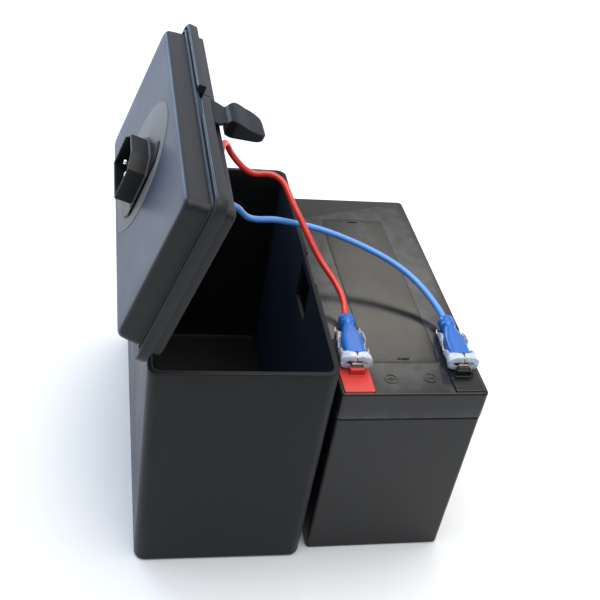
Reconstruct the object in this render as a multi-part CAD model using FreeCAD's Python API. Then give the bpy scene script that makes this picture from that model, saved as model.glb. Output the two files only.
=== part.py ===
import FreeCAD, Part
import math
import os

# A 12 V sealed deep cycle battery standing beside its carry box. The box has a hinged lid with
# a snap latch and a two-pin socket, and two leads run from the socket to the battery's tabs.
# Millimetres. Origin: centre of the box's resting face. X: box width, Y: box length, Z: up.

os.makedirs("parts", exist_ok=True)

V = FreeCAD.Vector
ALONG_Y = V(0, 1, 0)
UP = V(0, 0, 1)

# Box
BOX_WIDTH = 76.0
BOX_LENGTH = 158.5
BOX_HEIGHT = 112.0
BOX_WALL = 2.4
BOX_FLOOR = 2.5
BOX_DRAFT = 0.4
BOX_CORNER = 5.0
BOX_BOTTOM_ROUND = 1.6

# Latch window and the shallow recess that the latch tongue lies in
WINDOW_Y = (-17.1, 3.5)
WINDOW_Z = (89.0, 108.2)
RECESS_Y = (-18.8, 5.2)
RECESS_BOTTOM = 87.0
RECESS_DEPTH = 1.0

# Hinges
AXIS_OUT = 2.75
AXIS_UP = 0.6
HINGE_Y = (-45.0, 45.0)
BARREL_R = 2.2
PIN_R = 1.0
PIN_RUNNING = 0.05
PIN_HALF = 10.0
LUG_INNER = 4.0
LID_LUG_HALF = 3.8
LUG_DROP = 8.0

# Lid, drawn closed: u across from the hinge side, v along from the near end, n up from its edge
OPEN_ANGLE = 70.9
LID_WIDTH = 76.6
LID_LENGTH = 158.1
LID_GAP = 0.2
SKIRT_HEIGHT = 4.2
LEDGE_SIDE = 4.9
LEDGE_END = 4.0
CAP_HEIGHT = 13.25
CAP_DRAFT = 0.9
CAP_ROUND = 2.2
CAP_CORNER = 3.4
LID_CORNER = 5.5
LIP_DEPTH = 4.8
LIP_INSET_SIDE = 4.05
LIP_INSET_END = 3.05
LIP_WALL = 1.85
CAP_WALL = 2.3
GROOVE_FROM = 1.7
GROOVE_TO = 2.7
GROOVE_DEPTH = 0.6
RIB_TO = 4.1
RIB_HEIGHT = 0.7
GROOVE_STOP_V = 66.5
NOTCH_V = (78.0, 90.8)
NOTCH_N = (0.9, 3.4)
NOTCH_RAMP = (84.5, 2.2)
NOTCH_DEEP = 6.4

# Latch tongue, in the lid's u, v, n
TONGUE_THICK = 1.25
BARB_N = -4.6
BARB_REACH = 5.0
TONGUE_TIP_N = -22.5

# Socket on the lid
SOCKET_U = (28.0, 47.5)
SOCKET_V = (64.0, 92.8)
SOCKET_CHAMFER = (4.7, 7.4)
SOCKET_RIM = 22.2
SOCKET_FOOT = 9.5
SOCKET_WALL = 1.1
SOCKET_FLOOR = 15.0
ARM_U = (33.0, 41.0)
ARM_INSIDE = 0.48
ARM_OUTSIDE = 0.8
FLANGE_CENTRE = (36.5, 81.0)
FLANGE_R = 21.5
FLANGE_THICK = 1.0
FLANGE_FLAT = ((42.8, 92.8), (54.8, 73.0))
LABEL_CENTRE = (36.0, 83.0)
LABEL_R = 28.5
LABEL_THICK = 0.2
LABEL_EDGE_U = 10.2
CONTACT_U = 36.5
CONTACT_V = (81.3, 71.3)
CONTACT_R = 1.15
CONTACT_TIP = 21.0
STEM_R = 1.5

# Flat terminal tabs and their push-on connectors
TAB_WIDTH = 4.75
TAB_THICK = 0.8
BLADE_REACH = 10.5
CONNECTOR_LENGTH = 31.0
CONNECTOR_Z = 102.2
CONNECTOR_REAR = 1.4
HOUSING_END = 24.6
GRIP = (12.6, 29.6)
BARREL_OUTER_R = 3.6
NECK_R = 3.0
WIRE_STOP = 8.8
JACKET_OPEN_Z = 1.0

# Battery
BATTERY_WIDTH = 65.0
BATTERY_LENGTH = 151.0
BATTERY_HEIGHT = 97.5
BATTERY_CORNER = V(41.2, -74.81, 0)
BATTERY_YAW = 0.9
COVER_HEIGHT = 14.0
COVER_STEP = 0.3
CASE_WALL = 2.5
CELLS = 6
PARTITION = 1.5
COVER_CAVITY_TOP = 89.5
PAD_X = ((1.5, 15.0), (50.0, 63.5))
PAD_Y = (1.2, 17.0)
PAD_Z = (96.5, 98.2)
TAB_X = (8.85, 56.0)
RISER_Y = (13.1, 12.3)
POST_BACK = 4.0
FOOT_ROOF_Z = 97.5
BOSS_HALF = 3.3
BOSS_FRONT = 1.9
BOSS_BACK = 0.9
BOSS_TOP = 100.8
VENT_PLATE = (16.0, 19.8, 48.5, 131.2)
VENT_PLATE_THICK = 1.5
VALVE_R = 5.2
VALVE_HEIGHT = 4.0
PLATE_THICK = {"negative": 1.8, "positive": 2.6, "separator": 2.5}
POST_R = 2.0
PLATE_BOTTOM = 3.6
PLATE_TOP = 72.0
STRAP_Z = (76.0, 79.0)
RUNNER_Z = (80.0, 81.5)
POST_START = (STRAP_Z[1], RUNNER_Z[1])

# Leads
LEAD_R = 1.45
ARC_SHARE = 0.45
RED_ROUTE = (
    (-24.8, 2.25, 148.3), (-16.3, 2.25, 145.4), (-8, 8, 148), (-5.5, 18.5, 155),
    (-2.5, 30, 154.2), (2, 34, 144), (11, 31.5, 136), (20.5, 30.5, 138),
    (26, 25.5, 137), (29.5, 17.5, 131), (34, 10.5, 125), (38, 3.5, 119),
    (42.5, -3.5, 113), (48, -11, 108.5), (51.3, -19.5, 105), (50.8, -28.5, 102.2),
    (50.45, -38, 102.2),
)
BLUE_ROUTE = (
    (-24.8, -7.75, 148.3), (-16.3, -7.75, 145.4), (-6.5, -4.5, 143), (1.5, 0, 138.5),
    (6.5, 4, 130.5), (13, 10, 125.5), (22, 15, 123), (32, 17, 120),
    (42.5, 17, 118), (53, 14.5, 116), (63, 10.5, 114), (72.5, 5.5, 112),
    (81, -1, 110), (88, -8.5, 107.5), (93.5, -17.5, 104.5), (97, -27.5, 102.2),
    (97, -38, 102.2),
)

AXIS = V(-BOX_WIDTH / 2 - AXIS_OUT, 0, BOX_HEIGHT + AXIS_UP)
LID_X = -LID_WIDTH / 2
LID_Y = -LID_LENGTH / 2
LID_Z = BOX_HEIGHT + LID_GAP


def export(node, shape):
    """Write one node, and say if it isn't a sound solid."""
    shape.exportStep("parts/%s.step" % node)
    print(node, "solids", len(shape.Solids), "valid", shape.isValid(), "mm3", round(shape.Volume))


def block(low, high):
    """A box from its lowest to its highest corner."""
    size = [b - a for a, b in zip(low, high)]
    return Part.makeBox(size[0], size[1], size[2], V(*low))


def rod(start, end, radius):
    """A cylinder between two points."""
    start = V(*start)
    run = V(*end) - start
    return Part.makeCylinder(radius, run.Length, start, run)


def inset_polygon(points, distance):
    """The polygon's corners after each side moves in by distance. Corners run anticlockwise."""
    moved = []
    count = len(points)
    for i in range(count):
        before, here, after = points[i - 1], points[i], points[(i + 1) % count]
        first = (V(*here, 0) - V(*before, 0)).normalize()
        second = (V(*after, 0) - V(*here, 0)).normalize()
        in_first = V(-first.y, first.x, 0)
        in_second = V(-second.y, second.x, 0)
        bisector = (in_first + in_second).normalize()
        corner = V(*here, 0) + bisector * (distance / bisector.dot(in_first))
        moved.append((corner.x, corner.y))
    return moved


def rounded_wire(points, radii, place):
    """A closed outline with an arc at each corner. place turns a flat point into a 3-D one."""
    radii = radii if isinstance(radii, (list, tuple)) else [radii] * len(points)
    ends = []
    for i, radius in enumerate(radii):
        here = V(*points[i], 0)
        back = (V(*points[i - 1], 0) - here).normalize()
        on = (V(*points[(i + 1) % len(points)], 0) - here).normalize()
        half = back.getAngle(on) / 2
        reach = radius / math.tan(half)
        bisector = (back + on).normalize()
        middle = here + bisector * (radius / math.sin(half) - radius)
        ends.append((here + back * reach, middle, here + on * reach))
    edges = []
    for i, (start, middle, end) in enumerate(ends):
        edges.append(Part.Arc(place(start), place(middle), place(end)).toShape())
        following = ends[(i + 1) % len(ends)][0]
        if (following - end).Length > 1e-6:
            edges.append(Part.LineSegment(place(end), place(following)).toShape())
    return Part.Wire(edges)


def at_height(z):
    """A placer for outlines that lie flat at one height."""
    return lambda p: V(p.x, p.y, z)


def rectangle(low, high):
    return [(low[0], low[1]), (high[0], low[1]), (high[0], high[1]), (low[0], high[1])]


def prism(points, radii, z_low, z_high):
    """An upright prism with rounded corners."""
    face = Part.Face(rounded_wire(points, radii, at_height(z_low)))
    return face.extrude(V(0, 0, z_high - z_low))


def tapered(sections):
    """A solid through flat outlines: each section is (corners, radius, height)."""
    wires = [rounded_wire(points, radius, at_height(z)) for points, radius, z in sections]
    return Part.makeLoft(wires, True, True)


def centred(width, length):
    return rectangle((-width / 2, -length / 2), (width / 2, length / 2))


# ---------------------------------------------------------------- box

def box_shell():
    """The open box: drafted walls, latch window and recess, and the fixed hinge lugs."""
    foot_width = BOX_WIDTH - 2 * BOX_DRAFT
    foot_length = BOX_LENGTH - 2 * BOX_DRAFT
    outer = tapered([
        (centred(foot_width, foot_length), BOX_CORNER, 0),
        (centred(BOX_WIDTH, BOX_LENGTH), BOX_CORNER, BOX_HEIGHT),
    ])
    foot_edges = [edge for edge in outer.Edges if edge.BoundBox.ZMax < 0.01]
    outer = outer.makeFillet(BOX_BOTTOM_ROUND, foot_edges)
    inner_corner = BOX_CORNER - 2.0
    above = BOX_HEIGHT + 5
    spread = BOX_DRAFT * (above / BOX_HEIGHT - 1)
    inner = tapered([
        (centred(foot_width - 2 * BOX_WALL, foot_length - 2 * BOX_WALL), inner_corner, BOX_FLOOR),
        (centred(BOX_WIDTH - 2 * BOX_WALL + 2 * spread, BOX_LENGTH - 2 * BOX_WALL + 2 * spread),
         inner_corner, above),
    ])
    side = BOX_WIDTH / 2
    window = block((side - 8, WINDOW_Y[0], WINDOW_Z[0]), (side + 5, WINDOW_Y[1], WINDOW_Z[1]))
    recess = block((side - RECESS_DEPTH, RECESS_Y[0], RECESS_BOTTOM), (side + 5, RECESS_Y[1], above))
    shell = outer.cut(inner).cut(window).cut(recess)
    for hinge_y in HINGE_Y:
        for sign in (-1, 1):
            shell = shell.fuse(box_lug(hinge_y, sign))
    for hinge_y in HINGE_Y:
        shell = shell.cut(rod((AXIS.x, hinge_y - 15, AXIS.z), (AXIS.x, hinge_y + 15, AXIS.z), PIN_R))
    return shell.removeSplitter()


def box_lug(hinge_y, sign):
    """One fixed knuckle: a barrel on a web that runs down to the wall."""
    near, far = sorted((hinge_y + sign * LUG_INNER, hinge_y + sign * PIN_HALF))
    barrel = rod((AXIS.x, near, AXIS.z), (AXIS.x, far, AXIS.z), BARREL_R)
    into_wall = AXIS_OUT + 1.2
    corners = [(into_wall, -AXIS_UP), (into_wall, -LUG_DROP), (AXIS_OUT, -LUG_DROP),
               (-1.6, -1.5), (-1.6, -AXIS_UP)]
    points = [V(AXIS.x + x, near, AXIS.z + z) for x, z in corners]
    web = Part.Face(Part.makePolygon(points + points[:1])).extrude(V(0, far - near, 0))
    return barrel.fuse(web)


def hinge_pin(hinge_y):
    pin = rod((AXIS.x, hinge_y - PIN_HALF, AXIS.z), (AXIS.x, hinge_y + PIN_HALF, AXIS.z), PIN_R)
    ends = [edge for edge in pin.Edges if edge.Closed]
    return pin.makeChamfer(0.2, ends)


# ---------------------------------------------------------------- lid

def opened(shape):
    """Move a shape from the closed lid's u, v, n to the open rest place."""
    placed = shape.copy()
    placed.translate(V(LID_X, LID_Y, LID_Z))
    placed.rotate(AXIS, ALONG_Y, -OPEN_ANGLE)
    return placed


def lid_rectangle(side_inset, end_inset):
    return rectangle((side_inset, end_inset), (LID_WIDTH - side_inset, LID_LENGTH - end_inset))


def lid_cap():
    """The raised cap with its drafted wall and rounded top edge."""
    cap = tapered([
        (lid_rectangle(LEDGE_SIDE, LEDGE_END), CAP_CORNER, SKIRT_HEIGHT - 0.5),
        (lid_rectangle(LEDGE_SIDE + CAP_DRAFT, LEDGE_END + CAP_DRAFT), CAP_CORNER, CAP_HEIGHT),
    ])
    top = [edge for edge in cap.Edges if edge.BoundBox.ZMin > CAP_HEIGHT - 0.01]
    return cap.makeFillet(CAP_ROUND, top)


def lid_groove():
    """The groove between the ledge's two fine ridges, on three sides and up to the latch."""
    outer = prism(lid_rectangle(GROOVE_FROM, GROOVE_FROM), LID_CORNER - GROOVE_FROM,
                  SKIRT_HEIGHT - GROOVE_DEPTH, SKIRT_HEIGHT + 1)
    inner = prism(lid_rectangle(GROOVE_TO, GROOVE_TO), LID_CORNER - GROOVE_TO,
                  SKIRT_HEIGHT - GROOVE_DEPTH - 1, SKIRT_HEIGHT + 2)
    ring = outer.cut(inner)
    hinge_side = block((-1, -1, 0), (LEDGE_SIDE + 2, LID_LENGTH + 1, SKIRT_HEIGHT + 3))
    at_latch = block((LID_WIDTH / 2, GROOVE_STOP_V, 0), (LID_WIDTH + 1, NOTCH_V[1], SKIRT_HEIGHT + 3))
    return ring.cut(hinge_side).cut(at_latch)


def lid_rib():
    """The low rib on the cap's side of the groove, with its corners cut back."""
    levels = ((0.0, -0.5), (0.0, RIB_HEIGHT - 0.3), (0.3, RIB_HEIGHT))
    outer = tapered([(lid_rectangle(GROOVE_TO + i, GROOVE_TO + i), LID_CORNER - GROOVE_TO - i,
                      SKIRT_HEIGHT + n) for i, n in levels])
    inner = prism(lid_rectangle(RIB_TO, RIB_TO), 1.6, 0, SKIRT_HEIGHT + RIB_HEIGHT + 1)
    hinge_side = block((-1, -1, 0), (LEDGE_SIDE + 2, LID_LENGTH + 1, SKIRT_HEIGHT + 3))
    return outer.cut(inner).cut(hinge_side)


def lid_notch():
    """The notch above the latch: a ramp cut through the groove, with a pocket under the rib."""
    far, top = NOTCH_V[1], SKIRT_HEIGHT + 2
    side = [(NOTCH_V[0], SKIRT_HEIGHT - 0.1), NOTCH_RAMP, (far, NOTCH_N[0]), (far, top), (NOTCH_V[0], top)]
    deep = [NOTCH_RAMP, (far, NOTCH_N[0]), (far, NOTCH_N[1]), (NOTCH_RAMP[0], NOTCH_N[1])]
    cutters = []
    for points, reach in ((side, GROOVE_TO + 0.02), (deep, NOTCH_DEEP)):
        corners = [V(LID_WIDTH - reach, v, n) for v, n in points]
        face = Part.Face(Part.makePolygon(corners + corners[:1]))
        cutters.append(face.extrude(V(reach + 1, 0, 0)))
    return cutters[0].fuse(cutters[1])


def lid_lug(hinge_y):
    """One moving knuckle, bored to run on the pin."""
    centre_u = AXIS.x - LID_X
    centre_n = AXIS.z - LID_Z
    near = hinge_y - LID_Y - LID_LUG_HALF
    far = hinge_y - LID_Y + LID_LUG_HALF
    barrel = rod((centre_u, near, centre_n), (centre_u, far, centre_n), BARREL_R)
    web = block((centre_u, near, 0), (0.6, far, centre_n + BARREL_R))
    return barrel.fuse(web)


def lid_shell():
    """The lid: skirt with its ledge and rib, cap, inner lip, socket hole, latch notch and hinge lugs."""
    skirt = prism(lid_rectangle(0, 0), LID_CORNER, 0, SKIRT_HEIGHT)
    lip = prism(lid_rectangle(LIP_INSET_SIDE, LIP_INSET_END), LID_CORNER - 2.5, -LIP_DEPTH, 1)
    body = skirt.fuse(lid_cap()).fuse(lip)
    low, high = -LIP_DEPTH - 1, CAP_HEIGHT - CAP_WALL
    cavity = tapered([
        (lid_rectangle(LIP_INSET_SIDE + LIP_WALL, LIP_INSET_END + LIP_WALL), 2.5, low),
        (lid_rectangle(LEDGE_SIDE + CAP_DRAFT + CAP_WALL, LEDGE_END + CAP_DRAFT + CAP_WALL), 2.5, high),
    ])
    hole = prism(socket_outline(-0.1), 1.0, high - 1, CAP_HEIGHT + 1)
    slit = block((LID_WIDTH - 3.6, 82.1, -1), (LID_WIDTH + 1, 82.8, 3.4))
    body = body.fuse(lid_rib()).cut(cavity).cut(lid_groove()).cut(hole).cut(lid_notch()).cut(slit)
    for hinge_y in HINGE_Y:
        body = body.fuse(lid_lug(hinge_y))
    centre_u = AXIS.x - LID_X
    centre_n = AXIS.z - LID_Z
    bore = rod((centre_u, 0, centre_n), (centre_u, LID_LENGTH, centre_n), PIN_R + PIN_RUNNING)
    return body.cut(bore).removeSplitter()


def latch_tongue():
    """The springy tongue: a waisted root, an outward ridge and an inward barb."""
    u = LID_WIDTH
    profile = [
        (u - TONGUE_THICK, 0), (u - TONGUE_THICK, BARB_N), (u - BARB_REACH, BARB_N - 2.0),
        (u - BARB_REACH, BARB_N - 2.9), (u - 1.9, TONGUE_TIP_N + 0.6), (u - 1.3, TONGUE_TIP_N),
        (u + 0.5, TONGUE_TIP_N), (u + 1.1, TONGUE_TIP_N + 1.0), (u + 1.45, -14.7), (u + 2.45, -10.2),
        (u + 2.65, -8.8), (u + 2.3, -7.5), (u + 1.4, -6.6), (u + 0.1, -5.9), (u, -5.6), (u, 0),
    ]
    points = [V(x, 50, n) for x, n in profile]
    slab = Part.Face(Part.makePolygon(points + points[:1])).extrude(V(0, 45, 0))
    front = [
        (61.5, 0.5), (61.5, -2.5), (64.4, -5.0), (64.4, -6.8), (62.5, -8.8), (62.5, TONGUE_TIP_N),
        (82.0, TONGUE_TIP_N), (82.0, -11.2), (78.2, -6.8), (81.0, -0.8), (81.0, 0.5),
    ]
    radii = [0.2, 2.0, 0.8, 0.7, 0.8, 4.5, 8.0, 3.0, 1.2, 0.8, 0.2]
    outline = rounded_wire(front, radii, lambda p: V(u - 8, p.x, p.y))
    return slab.common(Part.Face(outline).extrude(V(16, 0, 0)))


# ---------------------------------------------------------------- socket

def socket_outline(inset):
    """The socket's keyed outline, with two cut corners on the side away from the hinge."""
    cut_u, cut_v = SOCKET_CHAMFER
    corners = [
        (SOCKET_U[0], SOCKET_V[0]), (SOCKET_U[1] - cut_u, SOCKET_V[0]),
        (SOCKET_U[1], SOCKET_V[0] + cut_v), (SOCKET_U[1], SOCKET_V[1] - cut_v),
        (SOCKET_U[1] - cut_u, SOCKET_V[1]), (SOCKET_U[0], SOCKET_V[1]),
    ]
    return inset_polygon(corners, inset)


def label_disc():
    """A thin blank disc stuck on the lid's face, trimmed where the face rounds off."""
    centre = (LABEL_CENTRE[0], LABEL_CENTRE[1], CAP_HEIGHT)
    disc = rod(centre, (centre[0], centre[1], CAP_HEIGHT + LABEL_THICK), LABEL_R)
    hole = prism(socket_outline(-0.1), 1.0, CAP_HEIGHT - 1, CAP_HEIGHT + 1)
    beyond = block((-10, 0, 10), (LABEL_EDGE_U, LID_LENGTH, 20))
    return disc.cut(hole).cut(beyond)


def socket_shroud():
    """The shroud round the contacts, with two snap arms and a round flange cut flat on three sides."""
    face_n = CAP_HEIGHT + LABEL_THICK
    tube = prism(socket_outline(0), 1.0, SOCKET_FOOT, SOCKET_RIM)
    flange = rod((*FLANGE_CENTRE, face_n), (*FLANGE_CENTRE, face_n + FLANGE_THICK), FLANGE_R)
    inside = prism(socket_outline(SOCKET_WALL), 0.6, SOCKET_FOOT - 1, SOCKET_RIM + 1)
    (u, v), (far_u, far_v) = FLANGE_FLAT
    run_u, run_v = far_u - u, far_v - v
    beyond = [(u, v), (u + 3 * run_u, v + 3 * run_v), (u + 90, v + 40), (u - 60, v + 40), (u - 60, v)]
    flange = flange.cut(prism(beyond, 0.1, face_n - 1, face_n + FLANGE_THICK + 1))
    flange = flange.cut(block((-10, 0, face_n - 1), (LID_WIDTH, SOCKET_V[0], face_n + FLANGE_THICK + 1)))
    body = tube.fuse(flange).cut(inside)
    under = CAP_HEIGHT - CAP_WALL
    for v, outward in zip(SOCKET_V, (-1, 1)):
        low, high = sorted((v - outward * ARM_INSIDE, v + outward * ARM_OUTSIDE))
        body = body.fuse(block((ARM_U[0], low, SOCKET_FOOT), (ARM_U[1], high, under - 0.05)))
    return body.removeSplitter()


def socket_gasket():
    """The soft ring at the foot of the shroud."""
    low = CAP_HEIGHT + LABEL_THICK + FLANGE_THICK
    ring = prism(socket_outline(-1.4), 2.0, low, low + 0.6)
    return ring.cut(prism(socket_outline(0), 1.0, low - 1, low + 2))


def socket_insert():
    """The block inside the shroud that holds the two contacts."""
    block_body = prism(socket_outline(SOCKET_WALL + 0.05), 0.6, SOCKET_FOOT, SOCKET_FLOOR)
    for v in CONTACT_V:
        block_body = block_body.cut(rod((CONTACT_U, v, 0), (CONTACT_U, v, 30), STEM_R))
    return block_body


def socket_contact(v):
    """One round pin on a thicker stem, with a collar and the flat tab behind it."""
    collar = rod((CONTACT_U, v, SOCKET_FOOT - 1.2), (CONTACT_U, v, SOCKET_FOOT), CONTACT_R + 1.2)
    stem = rod((CONTACT_U, v, SOCKET_FOOT - 0.5), (CONTACT_U, v, SOCKET_FLOOR), STEM_R)
    pin = rod((CONTACT_U, v, SOCKET_FLOOR - 0.5), (CONTACT_U, v, CONTACT_TIP), CONTACT_R)
    tip = [edge for edge in pin.Edges if edge.BoundBox.ZMin > CONTACT_TIP - 0.01]
    pin = pin.makeFillet(0.6, tip)
    tab = block((CONTACT_U - TAB_THICK / 2, v - TAB_WIDTH / 2, 1.0),
                (CONTACT_U + TAB_THICK / 2, v + TAB_WIDTH / 2, SOCKET_FOOT - 0.8))
    return pin.fuse(stem).fuse(collar).fuse(tab).removeSplitter()


def lid_receptacle(v):
    """The flat receptacle that grips a contact's rear tab."""
    grip = prism(around(CONTACT_U, v, 2.6, 6.0), 1.0, -0.2, 7.6)
    slot = prism(around(CONTACT_U, v, TAB_THICK + 0.1, TAB_WIDTH + 0.1), 0.1, 0.9, 8)
    crimp = rod((CONTACT_U, v, -2.8), (CONTACT_U, v, 0.5), LEAD_R)
    return grip.cut(slot).fuse(crimp)


def lid_sleeve(v):
    """The sleeve over the receptacle, open at both ends."""
    outer = prism(around(CONTACT_U, v, 4.4, 7.8), 1.6, -5.0, 7.8)
    inner = prism(around(CONTACT_U, v, 3.0, 6.4), 1.1, -2.2, 9)
    mouth = rod((CONTACT_U, v, -6), (CONTACT_U, v, 0), LEAD_R + 0.25)
    return outer.cut(inner).cut(mouth)


def around(x, y, size_x, size_y):
    return rectangle((x - size_x / 2, y - size_y / 2), (x + size_x / 2, y + size_y / 2))


# ---------------------------------------------------------------- battery

def on_battery(shape):
    """Move a shape from the battery's own corner to where the battery stands."""
    placed = shape.copy()
    placed.rotate(V(0, 0, 0), UP, BATTERY_YAW)
    placed.translate(BATTERY_CORNER)
    return placed


def cell_ranges():
    """The inner y range of each cell, from the near end."""
    first = COVER_STEP + CASE_WALL
    room = BATTERY_LENGTH - 2 * first - (CELLS - 1) * PARTITION
    step = room / CELLS + PARTITION
    return [(first + i * step, first + i * step + room / CELLS) for i in range(CELLS)]


def battery_container():
    """The cell container: one tub with five partitions that stop below the straps."""
    top = BATTERY_HEIGHT - COVER_HEIGHT
    low, high = COVER_STEP, BATTERY_WIDTH - COVER_STEP
    outline = rectangle((low, low), (high, BATTERY_LENGTH - COVER_STEP))
    tub = prism(outline, 2.0, 0, top)
    side = COVER_STEP + CASE_WALL
    for start, end in cell_ranges():
        tub = tub.cut(block((side, start, CASE_WALL), (BATTERY_WIDTH - side, end, top + 1)))
    over = block((side, side, STRAP_Z[0] - 1.5), (BATTERY_WIDTH - side, BATTERY_LENGTH - side, top + 1))
    return tub.cut(over)


def battery_cover():
    """The cover: terminal recesses, valve wells under the vent plate, and post holes."""
    low = BATTERY_HEIGHT - COVER_HEIGHT
    outline = rectangle((0, 0), (BATTERY_WIDTH, BATTERY_LENGTH))
    cover = prism(outline, 2.4, low, BATTERY_HEIGHT)
    rim = [edge for edge in cover.Edges if edge.BoundBox.ZMin > BATTERY_HEIGHT - 0.01]
    cover = cover.makeFillet(1.0, rim)
    side = CASE_WALL + COVER_STEP
    cover = cover.cut(block((side, side, low - 1),
                            (BATTERY_WIDTH - side, BATTERY_LENGTH - side, COVER_CAVITY_TOP)))
    for (pad_low, pad_high), tab_x, riser_y in zip(PAD_X, TAB_X, RISER_Y):
        cover = cover.cut(block((pad_low, PAD_Y[0], PAD_Z[0]), (pad_high, PAD_Y[1], BATTERY_HEIGHT + 1)))
        post_y = riser_y - POST_BACK
        cover = cover.cut(rod((tab_x, post_y, low), (tab_x, post_y, BATTERY_HEIGHT), POST_R + 0.1))
    x0, y0, x1, y1 = VENT_PLATE
    plate_seat = rectangle((x0 - 0.1, y0 - 0.1), (x1 + 0.1, y1 + 0.1))
    seat_z = BATTERY_HEIGHT - VENT_PLATE_THICK - 0.1
    cover = cover.cut(prism(plate_seat, 3.0, seat_z, BATTERY_HEIGHT + 1))
    for x, y in valve_places():
        cover = cover.cut(rod((x, y, seat_z - VALVE_HEIGHT - 0.1), (x, y, seat_z + 1), VALVE_R + 0.3))
        cover = cover.cut(rod((x, y, COVER_CAVITY_TOP - 1), (x, y, seat_z), 1.5))
    return cover


def valve_places():
    middle = BATTERY_WIDTH / 2
    first, last = VENT_PLATE[1] + 9, VENT_PLATE[3] - 9
    return [(middle, first + i * (last - first) / (CELLS - 1)) for i in range(CELLS)]


def vent_valves():
    """Six rubber caps, one over each cell's vent."""
    top = BATTERY_HEIGHT - VENT_PLATE_THICK - 0.2
    caps = []
    for x, y in valve_places():
        cap = rod((x, y, top - VALVE_HEIGHT + 0.1), (x, y, top), VALVE_R)
        caps.append(cap.cut(rod((x, y, top - VALVE_HEIGHT), (x, y, top - 1.2), VALVE_R - 1.2)))
    return Part.makeCompound(caps)


def vent_cover_plate():
    x0, y0, x1, y1 = VENT_PLATE
    low = BATTERY_HEIGHT - VENT_PLATE_THICK
    plate = prism(rectangle((x0, y0), (x1, y1)), 2.9, low, BATTERY_HEIGHT + 0.2)
    rim = [edge for edge in plate.Edges if edge.BoundBox.ZMin > BATTERY_HEIGHT]
    return plate.makeFillet(0.3, rim)


def terminal_pad(side):
    """A coloured pad that marks a terminal, with a raised boss that the tab comes up through."""
    low, high = PAD_X[side]
    pad = prism(rectangle((low + 0.1, PAD_Y[0] + 0.1), (high - 0.1, PAD_Y[1] - 0.1)), 1.0, *PAD_Z)
    rim = [edge for edge in pad.Edges if edge.BoundBox.ZMin > PAD_Z[1] - 0.01]
    pad = pad.makeFillet(0.4, rim)
    tab_x, riser_y = TAB_X[side], RISER_Y[side]
    near_corner = (tab_x - BOSS_HALF, riser_y - BOSS_FRONT)
    far_corner = (tab_x + BOSS_HALF, riser_y + BOSS_BACK)
    boss = prism(rectangle(near_corner, far_corner), 0.5, PAD_Z[1] - 0.5, BOSS_TOP)
    top = [edge for edge in boss.Edges if edge.BoundBox.ZMin > BOSS_TOP - 0.01]
    boss = boss.makeFillet(0.35, top)
    half = TAB_WIDTH / 2 + 0.1
    slot_end = riser_y + TAB_THICK / 2 + 0.1
    foot_room = block((tab_x - half, riser_y - POST_BACK - half, 90), (tab_x + half, slot_end, FOOT_ROOF_Z))
    slot = block((tab_x - half, 2 * riser_y - slot_end, 90), (tab_x + half, slot_end, BOSS_TOP + 1))
    return pad.fuse(boss).cut(foot_room).cut(slot).removeSplitter()


def terminal_tab(side):
    """A post up through the cover, and the flat tab bent over towards the far end."""
    x, riser_y = TAB_X[side], RISER_Y[side]
    half, thin = TAB_WIDTH / 2, TAB_THICK / 2
    post_y = riser_y - POST_BACK
    foot_z = PAD_Z[0] + 0.1
    post = rod((x, post_y, POST_START[side]), (x, post_y, foot_z + 0.4), POST_R)
    foot = block((x - half, post_y - half, foot_z), (x + half, riser_y + thin, foot_z + TAB_THICK))
    riser = block((x - half, riser_y - thin, foot_z), (x + half, riser_y + thin, CONNECTOR_Z))
    blade = block((x - half, riser_y - thin, CONNECTOR_Z - thin),
                  (x + half, riser_y + BLADE_REACH, CONNECTOR_Z + thin))
    return post.fuse(foot).fuse(riser).fuse(blade).removeSplitter()


def cell_layers():
    """Every plate and separator of every cell: (kind, cell number, start y, end y)."""
    order = ["negative", "separator", "positive", "separator"] * 2 + ["negative"]
    layers = []
    gap = 0.08
    for number, (start, end) in enumerate(cell_ranges()):
        stack = sum(PLATE_THICK[kind] for kind in order) + gap * (len(order) - 1)
        y = (start + end - stack) / 2
        for kind in order:
            layers.append((kind, number, y, y + PLATE_THICK[kind]))
            y += PLATE_THICK[kind] + gap
    return layers


def lug_x(kind, number):
    """Where a plate's lug stands: the sides swap from cell to cell."""
    near_left = (kind == "positive") == (number % 2 == 0)
    return (6.0, 14.0) if near_left else (51.0, 59.0)


def plates(kind):
    """All the plates of one kind, as separate solids."""
    side = CASE_WALL + COVER_STEP + 0.6
    solids = []
    for layer, number, start, end in cell_layers():
        if layer != kind:
            continue
        plate = block((side, start, PLATE_BOTTOM), (BATTERY_WIDTH - side, end, PLATE_TOP))
        if kind != "separator":
            low, high = lug_x(kind, number)
            plate = plate.fuse(block((low, start, PLATE_TOP - 1), (high, end, STRAP_Z[0])))
            plate = plate.removeSplitter()
        solids.append(plate)
    return Part.makeCompound(solids)


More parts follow.
